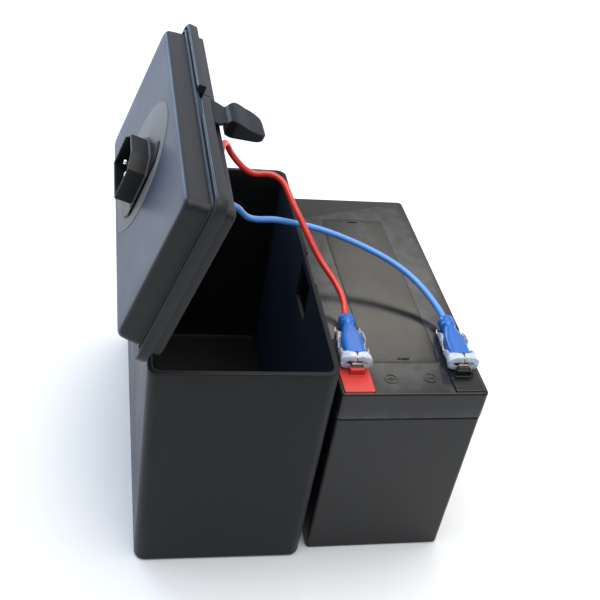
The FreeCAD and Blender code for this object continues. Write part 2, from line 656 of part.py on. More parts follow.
def cell_straps():
    """The bars that join each cell's lugs, and join one cell to the next in series."""
    cells = cell_ranges()
    bars = []
    for number in range(CELLS):
        for kind in ("positive", "negative"):
            low, high = lug_x(kind, number)
            start, end = cells[number][0] + 0.5, cells[number][1] - 0.5
            if kind == "negative" and number < CELLS - 1:
                end = cells[number + 1][1] - 0.5
            if kind == "positive" and number > 0:
                continue
            bars.append(block((low, start, STRAP_Z[0]), (high, end, STRAP_Z[1])))
    low, high = lug_x("negative", CELLS - 1)
    start, end = cells[CELLS - 1][0] + 2, cells[CELLS - 1][0] + 6
    runner_x = TAB_X[1]
    first_y = RISER_Y[1] - POST_BACK - POST_R
    stub = block((low, start, STRAP_Z[0]), (high, end, RUNNER_Z[1]))
    across = block((low, start, RUNNER_Z[0]), (runner_x + POST_R, end, RUNNER_Z[1]))
    back = block((runner_x - POST_R, first_y, RUNNER_Z[0]), (runner_x + POST_R, end, RUNNER_Z[1]))
    bars[-1] = bars[-1].fuse(stub).fuse(across).fuse(back).removeSplitter()
    return Part.makeCompound(bars)


# ---------------------------------------------------------------- push-on connectors

def connector_section(width, height, radius, distance):
    """One cross-section of a connector, at a distance in front of its rear end."""
    return rounded_wire(centred(width, height), radius, lambda p: V(p.x, -distance, p.y))


def connector_solid(sections):
    return Part.makeLoft([connector_section(*section) for section in sections], True, True)


def placed_connector(shape, rear, yaw):
    """Put a connector, drawn along -Y from the origin, at its lead's end."""
    placed = shape.copy()
    placed.rotate(V(0, 0, 0), UP, yaw)
    placed.translate(V(*rear))
    return placed


def connector_body():
    """The coloured part: a crimp barrel and neck, widening to the flat housing."""
    barrel = rod((0, -CONNECTOR_REAR, 0), (0, -6.6, 0), BARREL_OUTER_R)
    neck = rod((0, -5.0, 0), (0, -10.0, 0), NECK_R)
    housing = connector_solid([(5.6, 5.2, 2.3, 9.0), (9.2, 5.4, 2.3, 15.5), (9.6, 5.4, 2.3, HOUSING_END)])
    body = barrel.fuse(neck).fuse(housing)
    wire_bore = rod((0, 1, 0), (0, -13, 0), LEAD_R + 0.05)
    entry = rod((0, 1, 0), (0, -4.0, 0), LEAD_R + 0.5)
    pocket = connector_solid([(6.3, 3.3, 1.2, GRIP[0] - 0.2), (6.3, 3.3, 1.2, CONNECTOR_LENGTH)])
    return body.cut(wire_bore).cut(entry).cut(pocket).removeSplitter()


def connector_sleeve():
    """The loose milky jacket round the connector, open along its top behind the mouth."""
    outer = connector_solid([(11.4, 7.1, 3.4, 7.0), (13.4, 7.1, 3.4, CONNECTOR_LENGTH)])
    inner = connector_solid([(10.4, 6.2, 3.0, 6.0), (12.5, 6.2, 3.0, CONNECTOR_LENGTH + 1)])
    opening = block((-8, -HOUSING_END - 0.3, JACKET_OPEN_Z), (8, 0, 8))
    return outer.cut(inner).cut(opening)


def connector_receptacle():
    """The rolled metal receptacle that grips the tab, with its wire crimp."""
    grip = connector_solid([(6.1, 2.9, 1.1, GRIP[0]), (6.1, 2.9, 1.1, GRIP[1])])
    half, thin = TAB_WIDTH / 2 + 0.35, TAB_THICK / 2 + 0.05
    slot = block((-half, -CONNECTOR_LENGTH, -thin), (half, -19.5, thin))
    groove = block((-0.4, -CONNECTOR_LENGTH, 0), (0.4, -19.5, 3))
    crimp = rod((0, -WIRE_STOP, 0), (0, -13, 0), LEAD_R)
    return grip.cut(slot).cut(groove).fuse(crimp)


# ---------------------------------------------------------------- leads

def tube(name, route, radius):
    """A tube along straight runs joined by tangent arcs. Prints its radii and its volume check."""
    points = [V(*p) for p in route]
    start = points[0]
    edges = []
    radii = []
    for before, corner, after in zip(points, points[1:], points[2:]):
        back, on = before - corner, after - corner
        reach = ARC_SHARE * min(back.Length, on.Length)
        turn = math.pi - back.getAngle(on)
        radii.append(reach / math.tan(turn / 2))
        back.normalize()
        on.normalize()
        first, last = corner + back * reach, corner + on * reach
        bisector = (back + on).normalize()
        sag = radii[-1] * (1 / math.cos(turn / 2) - 1)
        edges.append(Part.LineSegment(start, first).toShape())
        edges.append(Part.Arc(first, corner + bisector * sag, last).toShape())
        start = last
    edges.append(Part.LineSegment(start, points[-1]).toShape())
    path = Part.Wire(edges)
    circle = Part.Wire(Part.makeCircle(radius, points[0], points[1] - points[0]))
    solid = path.makePipeShell([circle], True, False)
    print(name, "radii mm", [round(r, 1) for r in radii], "least", round(min(radii), 1))
    runs = [(b - a).Length for a, b in zip(points, points[1:])]
    ratio = solid.Volume / (math.pi * radius ** 2 * path.Length)
    print(name, "runs", round(min(runs), 1), "to", round(max(runs), 1),
          "length", round(path.Length, 1), "volume over section x length", round(ratio, 4))
    return solid


def export_leads():
    for colour, route in (("red", RED_ROUTE), ("blue", BLUE_ROUTE)):
        export(colour + "_lead", tube(colour + "_lead", route, LEAD_R))
        end, before = V(*route[-1]), V(*route[-2])
        run = (end - before).normalize()
        yaw = math.degrees(math.atan2(run.x, -run.y))
        rear = end - run * WIRE_STOP
        for piece, shape in (("connector_body", connector_body()),
                             ("connector_sleeve", connector_sleeve()),
                             ("connector_receptacle", connector_receptacle())):
            export("%s_%s" % (colour, piece), placed_connector(shape, rear, yaw))


def export_box():
    export("box_shell", box_shell())
    for place, hinge_y in zip(("front", "rear"), HINGE_Y):
        export("hinge_pin_" + place, hinge_pin(hinge_y))


def export_lid():
    export("lid_shell", opened(lid_shell()))
    export("latch_tongue", opened(latch_tongue()))
    export("label_disc", opened(label_disc()))
    export("socket_shroud", opened(socket_shroud()))
    export("socket_gasket", opened(socket_gasket()))
    export("socket_insert", opened(socket_insert()))
    for colour, v in zip(("red", "blue"), CONTACT_V):
        export("socket_contact_" + colour, opened(socket_contact(v)))
        export("lid_receptacle_" + colour, opened(lid_receptacle(v)))
        export("lid_sleeve_" + colour, opened(lid_sleeve(v)))


def export_battery():
    export("battery_container", on_battery(battery_container()))
    export("battery_cover", on_battery(battery_cover()))
    export("vent_cover_plate", on_battery(vent_cover_plate()))
    export("vent_valves", on_battery(vent_valves()))
    export("cell_straps", on_battery(cell_straps()))
    for kind, node in (("positive", "positive_plates"), ("negative", "negative_plates"),
                       ("separator", "separators")):
        export(node, on_battery(plates(kind)))
    for side, name in enumerate(("positive", "negative")):
        export(name + "_terminal_pad", on_battery(terminal_pad(side)))
        export(name + "_terminal_tab", on_battery(terminal_tab(side)))


export_box()
export_lid()
export_battery()
export_leads()
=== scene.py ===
import math

import bmesh
import bpy
from mathutils import Matrix, Vector


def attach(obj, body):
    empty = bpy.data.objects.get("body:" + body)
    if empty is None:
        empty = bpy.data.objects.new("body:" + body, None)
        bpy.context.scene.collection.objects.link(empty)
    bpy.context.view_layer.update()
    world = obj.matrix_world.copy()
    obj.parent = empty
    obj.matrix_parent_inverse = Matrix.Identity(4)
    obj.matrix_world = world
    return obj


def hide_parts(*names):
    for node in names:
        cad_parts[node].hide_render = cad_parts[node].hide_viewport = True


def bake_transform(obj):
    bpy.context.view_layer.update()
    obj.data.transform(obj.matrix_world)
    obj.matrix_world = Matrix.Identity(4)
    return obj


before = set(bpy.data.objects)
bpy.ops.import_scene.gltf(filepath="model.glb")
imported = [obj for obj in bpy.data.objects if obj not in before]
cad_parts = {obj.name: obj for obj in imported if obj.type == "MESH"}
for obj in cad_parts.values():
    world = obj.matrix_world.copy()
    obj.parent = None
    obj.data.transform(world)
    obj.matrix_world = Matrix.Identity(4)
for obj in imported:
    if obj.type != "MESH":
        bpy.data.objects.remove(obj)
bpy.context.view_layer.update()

# A sealed deep cycle battery beside its open carry box. Shapes are drawn in millimetres and
# placed in metres by the matrices below. The box and leads are drawn in the frame itself.
MM = 0.001
TO_METRES = Matrix.Scale(MM, 4)

# ------------------------------------------------------------------ camera

CAMERA_PLACE = Vector((-61.49, -357.55, 362.61)) * MM
CAMERA_LENS = 58.86
CAMERA_YAW = math.radians(15.407)
CAMERA_PITCH = math.radians(36.494)
CAMERA_ROLL = math.radians(-10.776)


def make_camera():
    """A camera that looks along yaw and pitch, rolled about its own line of sight."""
    yaw, pitch, roll = CAMERA_YAW, CAMERA_PITCH, CAMERA_ROLL
    forward = Vector((math.sin(yaw) * math.cos(pitch), math.cos(yaw) * math.cos(pitch), -math.sin(pitch)))
    right = Vector((math.cos(yaw), -math.sin(yaw), 0))
    down = forward.cross(right)
    image_right = right * math.cos(roll) + down * math.sin(roll)
    image_up = right * math.sin(roll) - down * math.cos(roll)
    data = bpy.data.cameras.new("camera")
    data.lens = CAMERA_LENS
    data.sensor_width = 36.0
    data.clip_start = 0.01
    camera = bpy.data.objects.new("camera", data)
    bpy.context.scene.collection.objects.link(camera)
    turn = Matrix((image_right, image_up, -forward)).transposed().to_4x4()
    camera.matrix_world = Matrix.Translation(CAMERA_PLACE) @ turn
    bpy.context.scene.camera = camera


make_camera()

# ------------------------------------------------------------------ meshes


def new_object(name, bm, place=TO_METRES, smooth_angle=35):
    """Turns a bmesh drawn in millimetres into an object in metres with clean normals."""
    bmesh.ops.remove_doubles(bm, verts=bm.verts, dist=1e-5)
    bmesh.ops.recalc_face_normals(bm, faces=bm.faces)
    mesh = bpy.data.meshes.new(name)
    bm.to_mesh(mesh)
    bm.free()
    mesh.transform(place)
    mesh.shade_smooth()
    mesh.set_sharp_from_angle(angle=math.radians(smooth_angle))
    piece = bpy.data.objects.new(name, mesh)
    bpy.context.scene.collection.objects.link(piece)
    return piece


def apply_modifiers(piece, smooth_angle=35):
    """Bakes a piece's modifiers into its mesh."""
    graph = bpy.context.evaluated_depsgraph_get()
    mesh = bpy.data.meshes.new_from_object(piece.evaluated_get(graph))
    piece.modifiers.clear()
    piece.data = mesh
    mesh.shade_smooth()
    mesh.set_sharp_from_angle(angle=math.radians(smooth_angle))


def cut(piece, *cutters):
    """Takes the cutters' space out of a piece."""
    for cutter in cutters:
        step = piece.modifiers.new("cut", "BOOLEAN")
        step.operation = "DIFFERENCE"
        step.solver = "EXACT"
        step.object = cutter
        apply_modifiers(piece)
        bpy.data.objects.remove(cutter)


def soften(piece, width, segments=2, angle=40):
    """Rounds a piece's sharp edges a little, and keeps its flat faces flat in the light."""
    bevel = piece.modifiers.new("soften", "BEVEL")
    bevel.width = width * MM
    bevel.segments = segments
    bevel.limit_method = "ANGLE"
    bevel.angle_limit = math.radians(angle)
    bevel.harden_normals = False
    apply_modifiers(piece, 50)
    piece.modifiers.new("flat faces", "WEIGHTED_NORMAL").keep_sharp = True
    apply_modifiers(piece, 50)


def rectangle(x0, y0, x1, y1):
    return [(x0, y0), (x1, y0), (x1, y1), (x0, y1)]


def around(width, length, x=0.0, y=0.0):
    return rectangle(x - width / 2, y - length / 2, x + width / 2, y + length / 2)


def inset_polygon(points, distance):
    """The corners after each side of an anticlockwise polygon moves in by distance."""
    moved = []
    for i, here in enumerate(points):
        here = Vector(here)
        first = (here - Vector(points[i - 1])).normalized()
        second = (Vector(points[(i + 1) % len(points)]) - here).normalized()
        normals = Vector((-first.y, first.x)), Vector((-second.y, second.x))
        bisector = (normals[0] + normals[1]).normalized()
        moved.append(tuple(here + bisector * (distance / bisector.dot(normals[0]))))
    return moved


def outline(corners, radius, divisions=None, steps=6):
    """Points round a polygon with rounded corners. divisions says how many spans each side has."""
    count = len(corners)
    divisions = divisions or [1] * count
    arcs = []
    for i, corner in enumerate(corners):
        here = Vector(corner)
        back = (Vector(corners[i - 1]) - here).normalized()
        on = (Vector(corners[(i + 1) % count]) - here).normalized()
        half = back.angle(on) / 2
        centre = here + (back + on).normalized() * (radius / math.sin(half))
        start = here + back * (radius / math.tan(half)) - centre
        turn = math.pi - 2 * half
        arc = []
        for k in range(steps + 1):
            angle = turn * k / steps
            c, s = math.cos(angle), math.sin(angle)
            arc.append(centre + Vector((start.x * c - start.y * s, start.x * s + start.y * c)))
        arcs.append(arc)
    points = []
    for i, arc in enumerate(arcs):
        points.extend(arc)
        after = arcs[(i + 1) % count][0]
        points.extend(arc[-1].lerp(after, k / divisions[i]) for k in range(1, divisions[i]))
    return points


def circle(radius, count=48, x=0.0, y=0.0):
    """Points round a circle."""
    angles = [2 * math.pi * k / count for k in range(count)]
    return [Vector((x + radius * math.cos(a), y + radius * math.sin(a))) for a in angles]


def flat_ring(points, height):
    return [Vector((p[0], p[1], height)) for p in points]


def loft(rings, cyclic=False, bm=None):
    """Faces between rings of points. The first and last are capped unless the loft closes on itself."""
    bm = bm or bmesh.new()
    rows = [[bm.verts.new(p) for p in ring] for ring in rings]
    pairs = list(zip(rows, rows[1:]))
    if cyclic:
        pairs.append((rows[-1], rows[0]))
    for low, high in pairs:
        for k in range(len(low)):
            j = (k + 1) % len(low)
            bm.faces.new((low[k], low[j], high[j], high[k]))
    if not cyclic:
        bm.faces.new(list(reversed(rows[0])))
        bm.faces.new(rows[-1])
    return bm


def rounding(inset, height, radius, first, last, steps=5):
    """(inset, height) along a quarter round from angle first to last, in degrees. 0 faces up."""
    made = []
    for k in range(steps + 1):
        angle = math.radians(first + (last - first) * k / steps)
        made.append((inset - radius * math.sin(angle), height + radius * math.cos(angle)))
    return made


def extruded(points, axis, start, end, bm=None):
    """A prism: flat (a, b) points carried along an axis, X or Y."""
    ends = []
    for along in (start, end):
        if axis == "X":
            ends.append([Vector((along, a, b)) for a, b in points])
        else:
            ends.append([Vector((a, along, b)) for a, b in points])
    return loft(ends, bm=bm)


def block(x0, y0, z0, x1, y1, z1, place=TO_METRES):
    """A plain cutter."""
    return new_object("cutter", loft([flat_ring(rectangle(x0, y0, x1, y1), z) for z in (z0, z1)]), place)


# ------------------------------------------------------------------ materials


class Nodes:
    """A short way to add and join shader nodes."""

    def __init__(self, name):
        self.material = bpy.data.materials.new(name)
        self.material.use_nodes = True
        self.tree = self.material.node_tree
        self.shader = self.tree.nodes["Principled BSDF"]

    def add(self, kind, **settings):
        node = self.tree.nodes.new(kind)
        for key, value in settings.items():
            if key in node.inputs:
                node.inputs[key].default_value = value
            else:
                setattr(node, key, value)
        return node

    def join(self, output, target):
        self.tree.links.new(output, target)

    def noise(self, scale, detail=3.0, roughness=0.5, stretch=None):
        """Noise in the object's own space. scale is in features a metre."""
        coordinates = self.add("ShaderNodeTexCoord").outputs["Object"]
        if stretch:
            mapping = self.add("ShaderNodeMapping")
            mapping.inputs["Scale"].default_value = stretch
            self.join(coordinates, mapping.inputs["Vector"])
            coordinates = mapping.outputs["Vector"]
        node = self.add("ShaderNodeTexNoise")
        node.inputs["Scale"].default_value = scale
        node.inputs["Detail"].default_value = detail
        node.inputs["Roughness"].default_value = roughness
        self.join(coordinates, node.inputs["Vector"])
        return node.outputs["Fac"]

    def band(self, source, low, high, to_low, to_high):
        """Maps one range of a value to another."""
        node = self.add("ShaderNodeMapRange")
        for key, value in (("From Min", low), ("From Max", high), ("To Min", to_low), ("To Max", to_high)):
            node.inputs[key].default_value = value
        self.join(source, node.inputs["Value"])
        return node.outputs["Result"]

    def mix(self, factor, first, second):
        """Mixes two colours, each a colour or an output, by a factor."""
        node = self.add("ShaderNodeMix", data_type="RGBA")
        self.join(factor, node.inputs["Factor"])
        for value, target in ((first, node.inputs[6]), (second, node.inputs[7])):
            if isinstance(value, tuple):
                target.default_value = (*value, 1.0)
            else:
                self.join(value, target)
        return node.outputs[2]

    def bump(self, source, distance, strength=1.0, under=None):
        node = self.add("ShaderNodeBump")
        node.inputs["Distance"].default_value = distance
        node.inputs["Strength"].default_value = strength
        self.join(source, node.inputs["Height"])
        if under is not None:
            self.join(under, node.inputs["Normal"])
        return node.outputs["Normal"]


def plastic(name, colour, edge_wear_and_highlight_colour, rough, grain=1400.0, grain_depth=0.00002, gloss=0.5, speck=0.0, painted_blue_sheen=0.0):
    """Moulded plastic: fine grain, slow roughness changes, paler edges that are part wear and part painted
    highlight, faint scuffs and a bluish sheen that is a painted reflection of the cool light.
    """
    n = Nodes(name)
    slow = n.noise(26.0, 4.0)
    fine = n.noise(grain, 2.0, 0.6)
    scuff = n.band(n.noise(320.0, 5.0, 0.7, (1.0, 0.14, 1.0)), 0.60, 0.72, 0.0, 1.0)
    # Paler convex edges: part edge wear, part painted highlight.
    edge = n.band(n.add("ShaderNodeNewGeometry").outputs["Pointiness"], 0.53, 0.62, 0.0, 0.5)
    edge_wear_and_highlight = n.add("ShaderNodeMath", operation="MULTIPLY")
    n.join(edge, edge_wear_and_highlight.inputs[0])
    n.join(n.band(n.noise(180.0, 3.0), 0.35, 0.65, 0.25, 1.0), edge_wear_and_highlight.inputs[1])
    darker = tuple(c * 0.82 for c in colour)
    lighter = tuple(c * 1.14 for c in colour)
    base = n.mix(n.band(slow, 0.3, 0.7, 0.0, 1.0), darker, lighter)
    if speck:
        base = n.mix(n.band(n.noise(900.0, 1.0), 0.78, 0.80, 0.0, speck), base, (0.6, 0.6, 0.58))
    base = n.mix(edge_wear_and_highlight.outputs[0], base, edge_wear_and_highlight_colour)
    n.join(base, n.shader.inputs["Base Color"])
    varied = n.add("ShaderNodeMath", operation="ADD")
    n.join(n.band(slow, 0.3, 0.7, rough - 0.04, rough + 0.05), varied.inputs[0])
    n.join(n.band(scuff, 0.0, 1.0, 0.0, 0.09), varied.inputs[1])
    n.join(varied.outputs[0], n.shader.inputs["Roughness"])
    n.join(n.bump(fine, grain_depth, 0.55), n.shader.inputs["Normal"])
    n.shader.inputs["Specular IOR Level"].default_value = gloss
    # A bluish sheen at grazing angles: a painted reflection of the cool light from the left.
    n.shader.inputs["Sheen Weight"].default_value = painted_blue_sheen
    n.shader.inputs["Sheen Roughness"].default_value = 0.45
    n.shader.inputs["Sheen Tint"].default_value = (0.3, 0.5, 1.0, 1.0)
    return n.material


def metal(name, colour, tarnish, rough, stretch=(1.0, 1.0, 1.0)):
    """Plated or brushed metal with fine lines and a little tarnish."""
    n = Nodes(name)
    lines = n.noise(2400.0, 2.0, 0.6, stretch)
    patches = n.band(n.noise(240.0, 4.0), 0.45, 0.72, 0.0, 0.7)
    n.join(n.mix(patches, colour, tarnish), n.shader.inputs["Base Color"])
    n.join(n.band(lines, 0.2, 0.8, rough - 0.06, rough + 0.1), n.shader.inputs["Roughness"])
    n.join(n.bump(lines, 0.00001, 0.4), n.shader.inputs["Normal"])
    n.shader.inputs["Metallic"].default_value = 1.0
    return n.material


def insulation(name, colour, deep, rough=0.3):
    """Soft PVC: slow colour change, shallow ripples along the wire and fine grain."""
    n = Nodes(name)
    slow = n.noise(60.0, 3.0)
    n.join(n.mix(n.band(slow, 0.3, 0.7, 0.0, 0.55), colour, deep), n.shader.inputs["Base Color"])
    n.join(n.band(slow, 0.3, 0.7, rough - 0.05, rough + 0.08), n.shader.inputs["Roughness"])
    ripples = n.bump(n.noise(330.0, 2.0), 0.00009, 0.5)
    n.join(n.bump(n.noise(3800.0, 2.0), 0.00001, 0.35, ripples), n.shader.inputs["Normal"])
    n.shader.inputs["Subsurface Weight"].default_value = 0.08
    n.shader.inputs["Subsurface Scale"].default_value = 0.001
    n.shader.inputs["Coat Weight"].default_value = 0.18
    n.shader.inputs["Coat Roughness"].default_value = 0.2
    return n.material


def milky(name, colour, rough=0.24):
    """Milky clear nylon: lets the piece inside show through, with cloudy patches."""
    n = Nodes(name)
    cloud = n.noise(420.0, 3.0)
    patches = n.band(cloud, 0.3, 0.7, 0.0, 1.0)
    n.join(n.mix(patches, colour, (0.93, 0.95, 0.98)), n.shader.inputs["Base Color"])
    n.join(n.band(cloud, 0.3, 0.7, rough - 0.06, rough + 0.12), n.shader.inputs["Roughness"])
    n.join(n.bump(n.noise(900.0, 2.0), 0.00003, 0.3), n.shader.inputs["Normal"])
    n.shader.inputs["Transmission Weight"].default_value = 0.45
    n.shader.inputs["IOR"].default_value = 1.3
    return n.material


def make_materials():
    """Every finish, keyed by the record's material slot."""
    made = {
        # Each plastic's second colour is its paler edge colour: part edge wear, part painted highlight,
        # bluish where it copies the cool light.
        "box_plastic": plastic("box plastic", (0.0095, 0.0096, 0.0099), (0.026, 0.027, 0.03), 0.4,
                               gloss=0.16, painted_blue_sheen=0.04),
        "lid_plastic": plastic("lid plastic", (0.018, 0.017, 0.016), (0.06, 0.065, 0.08), 0.38,
                               gloss=0.2, painted_blue_sheen=0.13),
        # The latch is moulded in the lid's plastic. Its darker colour is painted shade, copying its near and
        # under faces that fall in shadow.
        "latch_plastic": plastic("latch plastic with painted shade", (0.006, 0.006, 0.006), (0.03, 0.031, 0.034), 0.4,
                                 gloss=0.14, painted_blue_sheen=0.1),
        "label": plastic("label stock", (0.13, 0.13, 0.13), (0.16, 0.16, 0.16), 0.5, 2600.0, 0.00001, 0.3),
        "socket_plastic": plastic("socket plastic", (0.006, 0.006, 0.0062), (0.04, 0.042, 0.046), 0.36,
                                  gloss=0.3),
        "rubber_trim": plastic("trim rubber", (0.03, 0.03, 0.034), (0.05, 0.05, 0.055), 0.6, 900.0, 0.00004),
        "case_plastic": plastic("case plastic", (0.011, 0.0112, 0.0115), (0.05, 0.05, 0.052), 0.3,
                                gloss=0.3, speck=0.12),
        "cover_plastic": plastic("cover plastic", (0.012, 0.012, 0.0125), (0.07, 0.07, 0.075), 0.16,
                                 1800.0, 0.000008, gloss=0.34, speck=0.25),
        "red_pad": plastic("red pad plastic", (0.53, 0.03, 0.022), (0.62, 0.1, 0.08), 0.3),
        "black_pad": plastic("black pad plastic", (0.008, 0.008, 0.0085), (0.04, 0.04, 0.04), 0.12),
        "red_sleeve": plastic("red sleeve vinyl", (0.5, 0.025, 0.018), (0.6, 0.12, 0.1), 0.3),
        "blue_sleeve": plastic("blue sleeve vinyl", (0.02, 0.09, 0.45), (0.1, 0.22, 0.6), 0.3),
        "blue_barrel": plastic("blue connector nylon", (0.012, 0.13, 0.5), (0.05, 0.24, 0.62), 0.26),
        "glass_mat": plastic("separator mat", (0.75, 0.75, 0.7), (0.8, 0.8, 0.78), 0.9, 1500.0, 0.0001),
        "contact_metal": metal("contact plating", (0.82, 0.82, 0.8), (0.5, 0.49, 0.46), 0.16),
        "tab_metal": metal("tab plating", (0.17, 0.14, 0.11), (0.08, 0.07, 0.06), 0.26, (1.0, 0.1, 1.0)),
        "pin_steel": metal("pin steel", (0.55, 0.55, 0.56), (0.3, 0.28, 0.26), 0.3, (1.0, 0.1, 1.0)),
        "brass_parts": metal("tinned brass", (0.78, 0.66, 0.4), (0.5, 0.4, 0.24), 0.26),
        "lead_metal": metal("plate lead", (0.3, 0.31, 0.33), (0.2, 0.2, 0.21), 0.55),
        "red_wire": insulation("red insulation", (0.7, 0.035, 0.018), (0.52, 0.02, 0.012)),
        "blue_wire": insulation("blue insulation", (0.1, 0.32, 0.78), (0.07, 0.25, 0.68)),
        "clear_sleeve": milky("milky sleeve nylon", (0.62, 0.7, 0.84)),
    }
    return made


MATERIALS = make_materials()


def finish_piece(piece, slot, body, *nodes):
    """Gives a piece its finish, its body and the CAD nodes that it stands for."""
    piece.data.materials.clear()
    piece.data.materials.append(MATERIALS[slot])
    if body:
        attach(piece, body)
    if nodes:
        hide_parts(*nodes)
    return piece


# ------------------------------------------------------------------ leads

LEAD_RADIUS = 1.45
RED_ROUTE = (
    (-24.8, 2.25, 148.3), (-16.3, 2.25, 145.4), (-8, 8, 148), (-5.5, 18.5, 155),
    (-2.5, 30, 154.2), (2, 34, 144), (11, 31.5, 136), (20.5, 30.5, 138),
    (26, 25.5, 137), (29.5, 17.5, 131), (34, 10.5, 125), (38, 3.5, 119),
    (42.5, -3.5, 113), (48, -11, 108.5), (51.3, -19.5, 105), (50.8, -28.5, 102.2),
    (50.45, -38, 102.2),
)
BLUE_ROUTE = (
    (-24.8, -7.75, 148.3), (-16.3, -7.75, 145.4), (-6.5, -4.5, 143), (1.5, 0, 138.5),
    (6.5, 4, 130.5), (13, 10, 125.5), (22, 15, 123), (32, 17, 120),
    (42.5, 17, 118), (53, 14.5, 116), (63, 10.5, 114), (72.5, 5.5, 112),
    (81, -1, 110), (88, -8.5, 107.5), (93.5, -17.5, 104.5), (97, -27.5, 102.2),
    (97, -38, 102.2),
)


def spline_points(name, route):
    """Points read from one NURBS spline whose control points are the route's."""
    data = bpy.data.curves.new(name, "CURVE")
    data.dimensions = "3D"
    data.resolution_u = 12
    spline = data.splines.new("NURBS")
    spline.points.add(len(route) - 1)
    for point, place in zip(spline.points, route):
        point.co = (*(Vector(place) * MM), 1.0)
    spline.order_u = 3
    spline.use_endpoint_u = True
    helper = bpy.data.objects.new(name, data)
    bpy.context.scene.collection.objects.link(helper)
    line = bpy.data.meshes.new_from_object(helper)
    points = [v.co.copy() for v in line.vertices]
    bpy.data.objects.remove(helper)
    bpy.data.meshes.remove(line)
    return points


def tube_along(name, points, radius, sides=20):
    """A round tube along points, with its section carried without twist and its ends capped flat."""
    bm = bmesh.new()
    along = (points[1] - points[0]).normalized()
    side = along.orthogonal().normalized()
    rings = []
    for i, point in enumerate(points):
        before, after = points[max(i - 1, 0)], points[min(i + 1, len(points) - 1)]
        along = (after - before).normalized()
        side = (side - along * side.dot(along)).normalized()
        other = along.cross(side)
        angles = [2 * math.pi * k / sides for k in range(sides)]
        rings.append([point + (side * math.cos(a) + other * math.sin(a)) * radius for a in angles])
    loft(rings, bm=bm)
    return new_object(name, bm, Matrix.Identity(4), 60)


def make_lead(colour, route, with_pieces):
    """One lead: a round tube along its route, from the lid to its connector on the battery."""
    points = spline_points(colour + " line", route)
    lead = tube_along(colour + "_lead_wire", points, LEAD_RADIUS * MM)
    finish_piece(lead, colour + "_wire", None, colour + "_lead")
    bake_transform(lead)


# ------------------------------------------------------------------ push-on connectors

WIRE_STOP = 8.8


def connector_rings(sections):
    """Rings along the connector: (width, height, corner radius, distance from the rear)."""
    rings = []
    for width, height, radius, distance in sections:
        radius = min(radius, width / 2 - 0.01, height / 2 - 0.01)
        points = outline(around(width, height), radius, steps=8)
        rings.append([Vector((p.x, -distance, p.y)) for p in points])
    return rings


def connector_place(route):
    """The matrix that puts a connector, drawn along -Y from its rear end, on its lead."""
    end, before = Vector(route[-1]), Vector(route[-2])
    run = (end - before).normalized()
    yaw = math.atan2(run.x, -run.y)
    rear = end - run * WIRE_STOP
    return TO_METRES @ Matrix.Translation(rear) @ Matrix.Rotation(yaw, 4, "Z")


def make_jacket(colour, place):
    """The loose milky jacket: a thin wall round the connector, open along the top behind its mouth."""
    bm = bmesh.new()
    stations = [7.0 + k * 0.75 for k in range(33)]
    rows = []
    for distance in stations:
        share = (distance - 7.0) / 24.0
        half_width = 5.7 + share + 0.22 * math.sin(distance * 0.9) + 0.12 * math.sin(distance * 2.3)
        closed = min(max((distance - 26.2) / 2.0, 0.0), 1.0)
        closed = closed * closed * (3 - 2 * closed)
        reach = math.radians(100 + 22 * math.sin(distance * 0.55) * (1 - closed) + 79 * closed)
        row = []
        for k in range(41):
            angle = reach * (k / 20 - 1)
            x = half_width * math.copysign(abs(math.sin(angle)) ** 0.75, math.sin(angle))
            z = -3.45 * math.copysign(abs(math.cos(angle)) ** 0.6, math.cos(angle))
            row.append(bm.verts.new((x, -distance, z)))
        rows.append(row)
    front = [(v.co.x, v.co.z) for v in rows[-1]]
    for share, forward in ((0.92, 31.2), (0.7, 31.25)):
        slot = [(x * share, z * (share - 0.35 * (1 - share) / 0.3)) for x, z in front]
        rows.append([bm.verts.new((x, -forward, z)) for x, z in slot])
    for low, high in zip(rows, rows[1:]):
        for k in range(40):
            bm.faces.new((low[k], low[k + 1], high[k + 1], high[k]))
    jacket = new_object(colour + "_connector_jacket", bm, place, 60)
    wall = jacket.modifiers.new("wall", "SOLIDIFY")
    wall.thickness = 0.45 * MM
    wall.offset = -1.0
    apply_modifiers(jacket, 60)
    finish_piece(jacket, "clear_sleeve", "root", colour + "_connector_sleeve")
    return jacket


def make_connector(colour, route):
    """The blue body in its milky jacket. The metal inside is the CAD's own."""
    place = connector_place(route)
    sections = [
        (3.1, 3.1, 9, 6.0), (3.1, 3.1, 9, 2.0), (3.9, 3.9, 9, 1.6), (5.6, 5.6, 9, 1.4), (6.7, 6.7, 9, 1.5),
        (7.1, 7.1, 9, 1.8), (7.2, 7.2, 9, 2.4), (7.2, 7.2, 9, 4.4), (6.8, 6.8, 9, 4.7), (6.8, 6.8, 9, 5.3),
        (7.2, 7.2, 9, 5.6), (7.2, 7.2, 9, 6.2), (7.0, 7.0, 9, 6.6), (6.0, 6.0, 9, 7.1), (5.9, 5.9, 9, 8.8),
        (6.2, 5.8, 2.8, 9.6), (7.4, 5.6, 2.5, 12.0), (8.7, 5.4, 2.4, 14.6), (9.3, 5.4, 2.3, 17.0),
        (9.6, 5.4, 2.3, 26.0), (9.5, 5.3, 2.3, 26.4), (9.2, 5.0, 2.2, 26.6), (7.0, 3.8, 1.6, 26.6),
        (6.3, 3.3, 1.2, 24.2), (6.3, 3.3, 1.2, 20.0),
    ]
    body = new_object(colour + "_connector_housing", loft(connector_rings(sections)), place, 45)
    body.modifiers.new("flat faces", "WEIGHTED_NORMAL")
    finish_piece(body, "blue_barrel", "root", colour + "_connector_body")
    sleeve = make_jacket(colour, place)
    return [body, sleeve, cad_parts[colour + "_connector_receptacle"]]


for lead_colour, lead_route in (("red", RED_ROUTE), ("blue", BLUE_ROUTE)):
    make_lead(lead_colour, lead_route, make_connector(lead_colour, lead_route))

# ------------------------------------------------------------------ box

